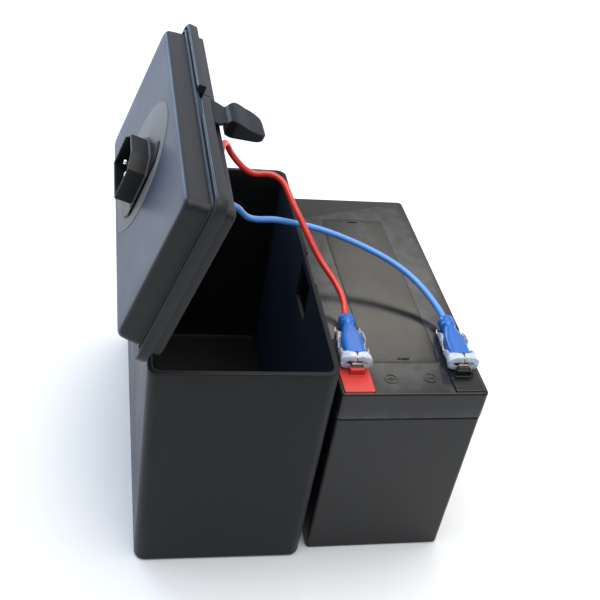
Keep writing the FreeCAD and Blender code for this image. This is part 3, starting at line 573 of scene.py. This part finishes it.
BOX_WIDTH = 76.0
BOX_LENGTH = 158.5
BOX_HEIGHT = 112.0
BOX_WALL = 2.4
BOX_FLOOR = 2.5
BOX_DRAFT = 0.4
BOX_CORNER = 5.0
SIDE_SPANS = (12, 24, 12, 24)
AXIS_X, AXIS_Z = -40.75, 112.6
HINGE_Y = (-45.0, 45.0)
BARREL_RADIUS = 2.2


def box_ring(inset, height, corner=BOX_CORNER):
    """One level of the box, moved in by its draft and a further inset."""
    inset += BOX_DRAFT * (1 - height / BOX_HEIGHT)
    corners = around(BOX_WIDTH - 2 * inset, BOX_LENGTH - 2 * inset)
    return flat_ring(outline(corners, corner, SIDE_SPANS, 8), height)


def knuckle(bm, near, far, web):
    """A hinge knuckle: a round barrel with a web polygon, both in X and Z about the hinge axis."""
    barrel = [(AXIS_X + p.x, AXIS_Z + p.y) for p in circle(BARREL_RADIUS, 24)]
    extruded(barrel, "Y", near, far, bm)
    extruded([(AXIS_X + x, AXIS_Z + z) for x, z in web], "Y", near, far, bm)


def make_box():
    bottom_round = 1.6
    rings = [box_ring(bottom_round + 2.5, 0, 2.0)]
    for inset, height in reversed(rounding(bottom_round, bottom_round, bottom_round, 90, 180)):
        rings.append(box_ring(inset, height, BOX_CORNER - inset * 0.6))
    rings += [box_ring(0, z) for z in (30, 60, 90, 106)]
    rim = reversed(rounding(0.6, BOX_HEIGHT - 0.6, 0.6, 0, 90, 4))
    rings += [box_ring(i, z, BOX_CORNER - i) for i, z in rim]
    wall = BOX_WALL
    rings += [box_ring(i, z, 3.4) for i, z in ((wall - 0.5, BOX_HEIGHT), (wall - 0.15, BOX_HEIGHT - 0.15),
                                               (wall, BOX_HEIGHT - 0.5))]
    rings += [box_ring(wall, z, 3.0) for z in (100, 70, 40, 12, BOX_FLOOR + 1.4)]
    rings += [box_ring(wall + 0.4, BOX_FLOOR + 0.4, 2.6), box_ring(wall + 1.4, BOX_FLOOR, 2.0)]
    piece = new_object("carry_box", loft(rings))
    side = BOX_WIDTH / 2
    cut(piece,
        block(side - 8, -17.1, 89.0, side + 5, 3.5, 108.2),
        block(side - 1.0, -18.8, 87.0, side + 5, 5.2, BOX_HEIGHT + 5))
    finish_piece(piece, "box_plastic", "root", "box_shell")
    bm = bmesh.new()
    web = [(3.3, -0.6), (3.3, -8.2), (2.7, -8.0), (-1.6, -1.5), (-1.6, -0.6)]
    for hinge_y in HINGE_Y:
        for near, far in ((hinge_y - 9.8, hinge_y - 4.0), (hinge_y + 4.0, hinge_y + 9.8)):
            knuckle(bm, near, far, web)
    lugs = new_object("box_hinge_lugs", bm)
    soften(lugs, 0.3)
    finish_piece(lugs, "box_plastic", "root")


make_box()

# ------------------------------------------------------------------ lid

OPEN_ANGLE = math.radians(70.9)
LID_WIDTH = 76.6
LID_LENGTH = 158.1
SKIRT_HEIGHT = 4.2
LEDGE_SIDE = 4.9
LEDGE_END = 4.0
CAP_HEIGHT = 13.25
CAP_DRAFT = 0.9
CAP_ROUND = 2.2
CAP_CORNER = 3.4
LID_CORNER = 5.5
LIP_DEPTH = 4.8
LID_SPANS = (30, 62, 30, 62)
CLOSED_LID = Matrix.Translation((-LID_WIDTH / 2, -LID_LENGTH / 2, BOX_HEIGHT + 0.2))
AXIS = Matrix.Translation((AXIS_X, 0, AXIS_Z))
OPENED = AXIS @ Matrix.Rotation(-OPEN_ANGLE, 4, "Y") @ AXIS.inverted()
ON_LID = TO_METRES @ OPENED @ CLOSED_LID
GROOVE_STOPS = (66.5, 91.5)


def lid_ring(inset, height, ridge=0.0, corner=None, end_inset=None, whole=False):
    """One level of the lid. ridge is added to the height, but not beside the hinge.

    It also stops beside the latch, unless it is whole.
    """
    end_inset = inset if end_inset is None else end_inset
    corner = max(LID_CORNER - inset * 0.55, 2.4) if corner is None else corner
    corners = rectangle(inset, end_inset, LID_WIDTH - inset, LID_LENGTH - end_inset)
    ring = flat_ring(outline(corners, corner, LID_SPANS, 7), height)
    for p in ring:
        beside_latch = p.x > LID_WIDTH / 2 and GROOVE_STOPS[0] < p.y < GROOVE_STOPS[1]
        if p.x > LEDGE_SIDE + 1.2 and (whole or not beside_latch):
            p.z += ridge
    return ring


def cap_ring(out, height):
    """One level of the raised cap, moved in from its foot."""
    return lid_ring(LEDGE_SIDE + out, height, corner=CAP_CORNER, end_inset=LEDGE_END + out)


def make_lid():
    top = CAP_HEIGHT
    rings = [cap_ring(CAP_DRAFT + CAP_ROUND + 2.0, top)]
    shoulder = rounding(CAP_DRAFT + CAP_ROUND, top - CAP_ROUND, CAP_ROUND, 0, 84, 7)
    rings += [cap_ring(i, z) for i, z in shoulder]
    rings += [cap_ring(0.45, 8.0), cap_ring(0.12, 4.7), cap_ring(-0.05, 4.35), cap_ring(-0.35, SKIRT_HEIGHT)]
    rib = ((4.3, 0.0), (4.1, 0.12), (4.0, 0.5), (3.75, 0.68), (3.1, 0.7), (2.85, 0.58), (2.72, 0.3),
           (2.7, 0.0))
    for inset, ridge in rib:
        rings.append(lid_ring(inset, SKIRT_HEIGHT, ridge, end_inset=min(inset, 3.6), whole=True))
    groove = ((2.68, -0.55), (1.72, -0.6), (1.66, 0.0), (1.5, 0.3), (1.2, 0.34), (0.8, 0.2), (0.65, 0.0))
    rings += [lid_ring(inset, SKIRT_HEIGHT, ridge) for inset, ridge in groove]
    rings += [lid_ring(i, z, corner=LID_CORNER) for i, z in rounding(0.6, SKIRT_HEIGHT - 0.6, 0.6, 0, 90, 4)]
    rings += [lid_ring(0, 0.4, corner=LID_CORNER), lid_ring(0.12, 0.12), lid_ring(0.4, 0)]
    lip = ((3.9, 2.9, 0), (4.05, 3.05, -0.2), (4.05, 3.05, -LIP_DEPTH + 0.5), (4.25, 3.25, -LIP_DEPTH + 0.15),
           (4.6, 3.6, -LIP_DEPTH), (5.4, 4.4, -LIP_DEPTH), (5.75, 4.75, -LIP_DEPTH + 0.15),
           (5.9, 4.9, -LIP_DEPTH + 0.5), (6.6, 5.6, 0), (8.0, 7.1, 9.6), (8.4, 7.5, 10.6), (9.4, 8.5, 10.95))
    rings += [lid_ring(u, z, corner=2.8, end_inset=v) for u, v, z in lip]
    piece = new_object("lid_cover", loft(rings), ON_LID)
    wide = [(78.0, 4.1), (84.5, 2.2), (90.8, 0.9), (90.8, 6.5), (78.0, 6.5)]
    deep = [(84.5, 2.2), (90.8, 0.9), (90.8, 3.4), (84.5, 3.4)]
    cut(piece,
        new_object("cutter", extruded(wide, "X", LID_WIDTH - 2.72, LID_WIDTH + 1), ON_LID),
        new_object("cutter", extruded(deep, "X", LID_WIDTH - 6.4, LID_WIDTH - 2.5), ON_LID),
        block(LID_WIDTH - 3.6, 82.1, -1, LID_WIDTH + 1, 82.8, 3.4, ON_LID))
    finish_piece(piece, "lid_plastic", "lid", "lid_shell")
    bm = bmesh.new()
    web = [(0, -0.4), (2.9, -0.4), (2.9, 3.2), (2.3, 3.2), (0, 2.2)]
    for hinge_y in HINGE_Y:
        knuckle(bm, hinge_y - 3.8, hinge_y + 3.8, web)
    lugs = new_object("lid_hinge_lugs", bm, TO_METRES @ OPENED)
    soften(lugs, 0.3)
    finish_piece(lugs, "lid_plastic", "lid")


make_lid()

# ------------------------------------------------------------------ latch


def hook_side(n, low_edge, radius, at, sign):
    """How far a hook's side has come in, where its lower corner is rounded."""
    depth = (low_edge + radius) - n
    if depth <= 0:
        return at
    return at + sign * (radius - math.sqrt(max(radius * radius - depth * depth, 0.0)))


def make_latch():
    """The tongue, lofted from its root down to its tip through flat sections."""
    w, tip = LID_WIDTH, -22.5
    sections = [
        (0.4, -1.25, 0.0, 61.5, 81.0), (-1.8, -1.25, 0.0, 61.5, 80.6), (-2.6, -1.25, 0.0, 61.8, 80.3),
        (-3.4, -1.25, 0.0, 62.5, 79.9), (-4.2, -1.25, 0.0, 63.5, 79.5), (-4.6, -1.25, 0.0, 64.0, 79.3),
        (-5.4, -2.75, 0.0, 64.4, 78.9), (-5.75, -3.4, 0.05, 64.4, 78.7), (-6.1, -4.1, 0.55, 64.4, 78.5),
        (-6.5, -4.85, 1.25, 64.35, 78.4), (-6.75, -5.0, 1.6, 64.2, 78.5), (-7.2, -5.0, 2.05, 63.8, 78.8),
        (-7.8, -4.9, 2.4, 63.2, 79.4), (-8.5, -4.75, 2.6, 62.75, 80.0), (-9.2, -4.6, 2.6, 62.5, 80.6),
        (-10.2, -4.4, 2.42, 62.5, 81.3),
    ]
    rings = []
    for n, inner, outer, low, high in sections:
        points = outline(rectangle(w + inner, low, w + outer, high), 0.45, steps=4)
        rings.append(flat_ring(points, n))
    for k in range(1, 25):
        n = -10.2 + (tip + 0.05 + 10.2) * math.sin(math.pi / 2 * k / 24)
        share = (n + 10.2) / (tip + 10.2)
        inner = -4.4 + 2.6 * share
        outer = max(2.42 + (n + 10.2) * 0.2155, 1.4 + (n + 14.7) * 0.05) - max(-n - 21.3, 0) * 0.5
        low = hook_side(n, tip, 4.5, 62.5, 1)
        high = min(hook_side(n, tip, 8.0, 82.0, -1), 82.0 - max(n + 11.8, 0.0) * 0.42)
        points = outline(rectangle(w + inner, low, w + outer, high), 0.4, steps=4)
        rings.append(flat_ring(points, n))
    piece = new_object("latch_hook", loft(rings), ON_LID, 50)
    piece.modifiers.new("flat faces", "WEIGHTED_NORMAL")
    finish_piece(piece, "latch_plastic", "latch", "latch_tongue")


make_latch()

# ------------------------------------------------------------------ socket

SOCKET_CORNERS = [(28.0, 64.0), (42.8, 64.0), (47.5, 71.4), (47.5, 85.4), (42.8, 92.8), (28.0, 92.8)]
SOCKET_RIM = 22.2
# The flange's slanting flat follows the edge of the shroud's cast shadow: painted shade in black plastic.
FLANGE_SHADOW_EDGE = ((42.8, 92.8), (54.8, 73.0))
SOCKET_FLOOR = 15.0
FACE = CAP_HEIGHT + 0.2
CONTACT_U = 36.5
CONTACT_V = (81.3, 71.3)


def socket_ring(inset, height, radius=1.0):
    return flat_ring(outline(inset_polygon(SOCKET_CORNERS, inset), radius, steps=5), height)


def disc_ring(centre, radius, height, edge_u=-99.0):
    ring = flat_ring(circle(radius, 96, *centre), height)
    for p in ring:
        p.x = max(p.x, edge_u)
    return ring


def flange_ring(radius, height):
    """One level of the flange: a circle held between the shroud's ends and inside its slanting flat. The flat
    follows the edge of the shroud's cast shadow, so the black flange out to it is partly painted shade.
    """
    ring = disc_ring((36.5, 81.0), radius, height)
    (u, v), (far_u, far_v) = FLANGE_SHADOW_EDGE
    across = Vector((v - far_v, far_u - u, 0)).normalized()
    for p in ring:
        p.y = min(max(p.y, SOCKET_CORNERS[0][1]), v)
        over = (p - Vector((u, v, height))).dot(across)
        if over > 0 and p.x > u:
            p -= across * over
    return ring


def make_socket():
    wall = [(0, FACE, 1.0), (0, 21.7, 1.0), (0.12, 22.05, 0.95), (0.3, SOCKET_RIM, 0.9),
            (0.8, SOCKET_RIM, 0.7), (1.0, 22.05, 0.65), (1.1, 21.7, 0.6), (1.15, FACE, 0.6)]
    bm = loft([socket_ring(*level) for level in wall], cyclic=True)
    # The flange is partly real and partly painted shade: its black reaches out to where the shroud's shadow
    # ends.
    flange = ((21.5, FACE), (21.5, FACE + 0.55), (21.3, FACE + 0.85), (20.8, FACE + 1.0),
              (19.0, FACE + 1.05))
    loft([flange_ring(r, z) for r, z in flange], bm=bm)
    for v in (64.0, 92.8):
        arm = around(8, 1.2, 37, v)
        loft([flat_ring(arm, z) for z in (9.5, 10.9)], bm=bm)
    shroud = new_object("socket_housing", bm, ON_LID, 40)
    shroud.modifiers.new("flat faces", "WEIGHTED_NORMAL")
    finish_piece(shroud, "socket_plastic", "lid", "socket_shroud")

    foot = FACE + 1.0
    strip = ((0, foot), (-1.3, foot), (-1.45, foot + 0.2), (-1.3, foot + 0.5), (-0.9, foot + 0.65),
             (0, foot + 0.7))
    seal = loft([socket_ring(i, z, 1.6) for i, z in strip], cyclic=True)
    gasket = new_object("socket_foot_seal", seal, ON_LID)
    finish_piece(gasket, "rubber_trim", "lid", "socket_gasket")

    core = ((1.2, 9.5), (1.2, SOCKET_FLOOR - 0.2), (1.4, SOCKET_FLOOR), (3.6, SOCKET_FLOOR))
    insert = new_object("socket_core", loft([socket_ring(i, z, 0.6) for i, z in core]), ON_LID)
    soften(insert, 0.1)
    finish_piece(insert, "socket_plastic", "lid", "socket_insert")

    disc = ((28.3, CAP_HEIGHT), (28.5, CAP_HEIGHT + 0.05), (28.5, CAP_HEIGHT + 0.15),
            (28.35, CAP_HEIGHT + 0.2))
    sticker = loft([disc_ring((36.0, 83.0), r, z, 10.2) for r, z in disc])
    label = new_object("blank_label", sticker, ON_LID)
    finish_piece(label, "label", "lid", "label_disc")


def make_contact(colour, v):
    """One round pin, its rear tab, and the receptacle and sleeve pushed on to the tab."""
    r = 1.15
    tip = SOCKET_FLOOR + 6.0
    stem = [(r + 0.35, 14.6), (r + 0.35, SOCKET_FLOOR), (r, SOCKET_FLOOR), (r, tip - 0.75)]
    stem += [(r - 0.75 + 0.75 * math.cos(a), tip - 0.75 + 0.75 * math.sin(a)) for a in (0.4, 0.8, 1.2, 1.5)]
    bm = loft([flat_ring(circle(radius, 28, CONTACT_U, v), n) for radius, n in stem])
    tab = outline(around(0.8, 4.75, CONTACT_U, v), 0.15, steps=3)
    loft([flat_ring(tab, n) for n in (1.0, 9.6)], bm=bm)
    pin = new_object("socket_pin_" + colour, bm, ON_LID, 45)
    finish_piece(pin, "contact_metal", "lid", "socket_contact_" + colour)

    grip = [(2.2, 5.6, 0.8, -0.2), (2.6, 6.0, 1.0, 0.1), (2.6, 6.0, 1.0, 7.4), (2.2, 5.6, 0.8, 7.6)]
    rings = [flat_ring(outline(around(a, b, CONTACT_U, v), c, steps=5), n) for a, b, c, n in grip]
    bm = loft(rings)
    loft([flat_ring(circle(1.4, 20, CONTACT_U, v), n) for n in (-2.8, 0.0)], bm=bm)
    receptacle = new_object("lid_terminal_" + colour, bm, ON_LID)
    finish_piece(receptacle, "brass_parts", "lid", "lid_receptacle_" + colour)

    skin = [(3.5, 3.5, 1.7, -4.6), (3.9, 4.3, 1.9, -5.0), (4.3, 5.4, 2.1, -4.4), (4.4, 7.8, 1.6, -1.6),
            (4.4, 7.8, 1.6, 7.5), (4.2, 7.6, 1.5, 7.8), (3.3, 6.7, 1.2, 7.8), (3.0, 6.4, 1.1, 7.5),
            (3.0, 6.4, 1.1, -0.6), (3.4, 3.6, 1.65, -2.2)]
    rings = [flat_ring(outline(around(a, b, CONTACT_U, v), c, steps=6), n) for a, b, c, n in skin]
    sleeve = new_object("lid_boot_" + colour, loft(rings, cyclic=True), ON_LID, 50)
    finish_piece(sleeve, colour + "_sleeve", "lid", "lid_sleeve_" + colour)


make_socket()
for contact_colour, contact_v in zip(("red", "blue"), CONTACT_V):
    make_contact(contact_colour, contact_v)

# ------------------------------------------------------------------ battery

BATTERY_WIDTH = 65.0
BATTERY_LENGTH = 151.0
BATTERY_HEIGHT = 97.5
COVER_HEIGHT = 14.0
BATTERY_YAW = math.radians(0.9)
BATTERY_CORNER = Vector((41.2, -74.81, 0))
ON_BATTERY = TO_METRES @ Matrix.Translation(BATTERY_CORNER) @ Matrix.Rotation(BATTERY_YAW, 4, "Z")
PAD_X = ((1.5, 15.0), (50.0, 63.5))
PAD_Y = (1.2, 17.0)
TAB_X = (8.85, 56.0)
RISER_Y = (13.1, 12.3)
TAB_Z = 102.2
BOSS_TOP = 100.8
VENT_PLATE = (16.0, 19.8, 48.5, 131.2)


def battery_ring(inset, height, corner=2.2):
    corners = rectangle(inset, inset, BATTERY_WIDTH - inset, BATTERY_LENGTH - inset)
    return flat_ring(outline(corners, corner, (8, 16, 8, 16), 6), height)


def make_case():
    seam = BATTERY_HEIGHT - COVER_HEIGHT
    rings = [battery_ring(3.0, 0, 1.0)]
    rings += [battery_ring(i, z, 1.9) for i, z in reversed(rounding(1.3, 1.0, 1.0, 90, 180, 4))]
    rings += [battery_ring(0.3, z, 2.0) for z in (20, 50, seam - 1.2)]
    rings += [battery_ring(0.35, seam - 0.9, 2.0), battery_ring(0.7, seam - 0.45, 1.8)]
    rings.append(battery_ring(0.9, seam, 1.6))
    case = new_object("battery_case", loft(rings), ON_BATTERY)
    case.modifiers.new("flat faces", "WEIGHTED_NORMAL")
    finish_piece(case, "case_plastic", "root", "battery_container")


def mark(bm, x, y, positive):
    """A moulded polarity mark: a fine ring with a bar or a cross in it."""
    low, high = BATTERY_HEIGHT - 0.1, BATTERY_HEIGHT + 0.25
    levels = ((2.9, low), (2.9, high), (2.4, high), (2.4, low))
    loft([flat_ring(circle(r, 32, x, y), z) for r, z in levels], cyclic=True, bm=bm)
    bars = [around(3.0, 0.5, x, y)] + ([around(0.5, 3.0, x, y)] if positive else [])
    for bar in bars:
        loft([flat_ring(bar, z) for z in (low, high)], bm=bm)


def make_cover():
    seam, top = BATTERY_HEIGHT - COVER_HEIGHT, BATTERY_HEIGHT
    rings = [battery_ring(2.0, seam, 1.2), battery_ring(0.4, seam, 2.0), battery_ring(0.1, seam + 0.15, 2.3),
             battery_ring(0, seam + 0.5, 2.4), battery_ring(0, seam + 7, 2.4)]
    rings += [battery_ring(i, z, 2.4 - i * 0.5) for i, z in reversed(rounding(1.1, top - 1.1, 1.1, 0, 90, 5))]
    cover = new_object("battery_lid", loft(rings), ON_BATTERY)
    x0, y0, x1, y1 = VENT_PLATE
    seat = outline(rectangle(x0 - 0.14, y0 - 0.14, x1 + 0.14, y1 + 0.14), 3.05, steps=8)
    well = new_object("cutter", loft([flat_ring(seat, z) for z in (top - 1.6, top + 1)]), ON_BATTERY)
    pads = [block(low - 0.1, PAD_Y[0] - 0.1, top - 1.0, high + 0.1, PAD_Y[1] + 0.1, top + 1, ON_BATTERY)
            for low, high in PAD_X]
    cut(cover, well, *pads)
    soften(cover, 0.14)
    finish_piece(cover, "cover_plastic", "root", "battery_cover")
    bm = bmesh.new()
    mark(bm, 23.5, 9.6, True)
    mark(bm, 41.0, 10.2, False)
    marks = new_object("polarity_marks", bm, ON_BATTERY)
    finish_piece(marks, "cover_plastic", "root")

    levels = ((0.0, top - 1.5), (0.0, top - 0.12), (0.08, top + 0.02), (0.3, top + 0.08), (3.0, top + 0.08))
    rings = []
    for inset, z in levels:
        corners = rectangle(x0 + inset, y0 + inset, x1 - inset, y1 - inset)
        rings.append(flat_ring(outline(corners, 2.9 - inset * 0.5, (6, 16, 6, 16), 8), z))
    plate = new_object("vent_plate", loft(rings), ON_BATTERY)
    slots = [block(x - 2.5, y - 0.5, top - 0.4, x + 2.5, y + 0.5, top + 1, ON_BATTERY)
             for x, y in (((x0 + x1) / 2, y0 + 2.4), ((x0 + x1) / 2, y1 - 2.4))]
    cut(plate, *slots)
    soften(plate, 0.1)
    finish_piece(plate, "cover_plastic", "root", "vent_cover_plate")


def strip(points, half_width, half_thick):
    """A flat strip bent along points in Y and Z, centred on X 0."""
    rings = []
    for i, (y, z) in enumerate(points):
        before, after = points[max(i - 1, 0)], points[min(i + 1, len(points) - 1)]
        run = Vector((after[0] - before[0], after[1] - before[1])).normalized()
        ring = []
        for p in outline(around(2 * half_width, 2 * half_thick), 0.12, steps=2):
            ring.append(Vector((p.x, y - run.y * p.y, z + run.x * p.y)))
        rings.append(ring)
    return rings


def make_terminal(side, name, slot):
    """A coloured pad with its raised boss, and the flat tab that rises from it and bends over."""
    low, high = PAD_X[side]
    x, riser = TAB_X[side], RISER_Y[side]
    top = BATTERY_HEIGHT + 0.7
    outer = rectangle(low, PAD_Y[0], high, PAD_Y[1])
    boss = rectangle(x - 3.3, riser - 1.9, x + 3.3, riser + 0.9)
    spans = (6, 7, 6, 7)
    rings = [flat_ring(outline(inset_polygon(outer, i), 1.0, spans, 5), z)
             for i, z in ((0.1, top - 1.6), (0.1, top - 0.4), (0.22, top - 0.12), (0.5, top))]
    rings += [flat_ring(outline(inset_polygon(boss, i), r, spans, 5), z)
              for i, r, z in ((-0.35, 0.8, top), (-0.1, 0.6, top + 0.08), (0.0, 0.5, top + 0.4),
                              (0.05, 0.5, BOSS_TOP - 0.2), (0.15, 0.45, BOSS_TOP + 0.2),
                              (0.4, 0.3, BOSS_TOP + 0.3))]
    pad = new_object(name + "_pad", loft(rings), ON_BATTERY)
    pad.modifiers.new("flat faces", "WEIGHTED_NORMAL")
    finish_piece(pad, slot, "root", name + "_terminal_pad")

    bend = 1.3
    path = [(riser, BOSS_TOP - 0.6)]
    path.append((riser, TAB_Z - bend))
    for k in range(1, 7):
        a = math.pi / 12 * k
        path.append((riser + bend - bend * math.cos(a), TAB_Z - bend + bend * math.sin(a)))
    path.append((riser + 10.4, TAB_Z))
    rings = strip(path, 2.375, 0.4)
    tab = new_object(name + "_tab", loft(rings), ON_BATTERY @ Matrix.Translation((x, 0, 0)), 50)
    tab.modifiers.new("flat faces", "WEIGHTED_NORMAL")
    finish_piece(tab, "tab_metal", "root", name + "_terminal_tab")


make_case()
make_cover()
make_terminal(0, "positive", "red_pad")
make_terminal(1, "negative", "black_pad")

# ------------------------------------------------------------------ carried-over CAD pieces

CARRIED = {
    "pin_steel": ("hinge_pin_front", "hinge_pin_rear"),
    "brass_parts": ("red_connector_receptacle", "blue_connector_receptacle"),
    "rubber_trim": ("vent_valves",),
    "lead_metal": ("cell_straps", "positive_plates", "negative_plates"),
    "glass_mat": ("separators",),
}
for carried_slot, carried_nodes in CARRIED.items():
    for node in carried_nodes:
        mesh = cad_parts[node].data
        mesh.materials.clear()
        mesh.materials.append(MATERIALS[carried_slot])

# ------------------------------------------------------------------ floor and light


def make_floor():
    """A plain pale floor, far wider than the view."""
    n = Nodes("floor paper")
    tone = n.band(n.noise(3.0, 3.0), 0.3, 0.7, 0.0, 1.0)
    n.join(n.mix(tone, (0.86, 0.86, 0.85), (0.88, 0.88, 0.87)), n.shader.inputs["Base Color"])
    n.shader.inputs["Roughness"].default_value = 0.8
    bm = loft([flat_ring(around(9000, 9000), z) for z in (-20, -0.05)])
    floor = new_object("floor", bm)
    floor.data.materials.append(n.material)


def soft_light(name, place, target, size, power, colour=(1.0, 1.0, 1.0)):
    """A square soft light aimed at a point. Places are in metres."""
    data = bpy.data.lights.new(name, "AREA")
    data.shape = "SQUARE"
    data.size = size
    data.energy = power
    data.color = colour
    light = bpy.data.objects.new(name, data)
    bpy.context.scene.collection.objects.link(light)
    aim = Vector(target) - Vector(place)
    light.matrix_world = Matrix.Translation(place) @ aim.to_track_quat("-Z", "Y").to_matrix().to_4x4()


def make_surroundings():
    """A white room: cooler to the left, and darker on the near side."""
    world = bpy.data.worlds.new("studio")
    world.use_nodes = True
    tree = world.node_tree
    place = tree.nodes.new("ShaderNodeTexCoord").outputs["Generated"]
    apart = tree.nodes.new("ShaderNodeSeparateXYZ")
    tree.links.new(place, apart.inputs[0])
    cooler = tree.nodes.new("ShaderNodeMix")
    cooler.data_type = "RGBA"
    cooler.inputs[6].default_value = (0.62, 0.8, 1.12, 1.0)
    cooler.inputs[7].default_value = (1.0, 0.99, 0.96, 1.0)
    across = tree.nodes.new("ShaderNodeMapRange")
    across.inputs["From Min"].default_value = -0.6
    across.inputs["From Max"].default_value = 0.3
    tree.links.new(apart.outputs[0], across.inputs["Value"])
    tree.links.new(across.outputs["Result"], cooler.inputs["Factor"])
    along = tree.nodes.new("ShaderNodeMapRange")
    along.inputs["From Min"].default_value = -0.5
    along.inputs["From Max"].default_value = 0.5
    along.inputs["To Min"].default_value = 0.4
    along.inputs["To Max"].default_value = 0.8
    tree.links.new(apart.outputs[1], along.inputs["Value"])
    background = tree.nodes["Background"]
    tree.links.new(cooler.outputs[2], background.inputs["Color"])
    tree.links.new(along.outputs["Result"], background.inputs["Strength"])
    return world


def make_light():
    scene = bpy.context.scene
    scene.view_settings.view_transform = "Standard"
    scene.world = make_surroundings()
    middle = (0.02, 0.0, 0.08)
    soft_light("top light", (0.1, 0.1, 2.6), middle, 2.8, 84.0)
    soft_light("window light", (-1.0, 1.7, 0.62), middle, 0.8, 15.0, (0.55, 0.75, 1.0))
    soft_light("far light", (0.65, 1.5, 1.3), (0.075, -0.01, 0.0975), 0.3, 0.9, (1.0, 0.93, 0.82))


make_floor()
make_light()
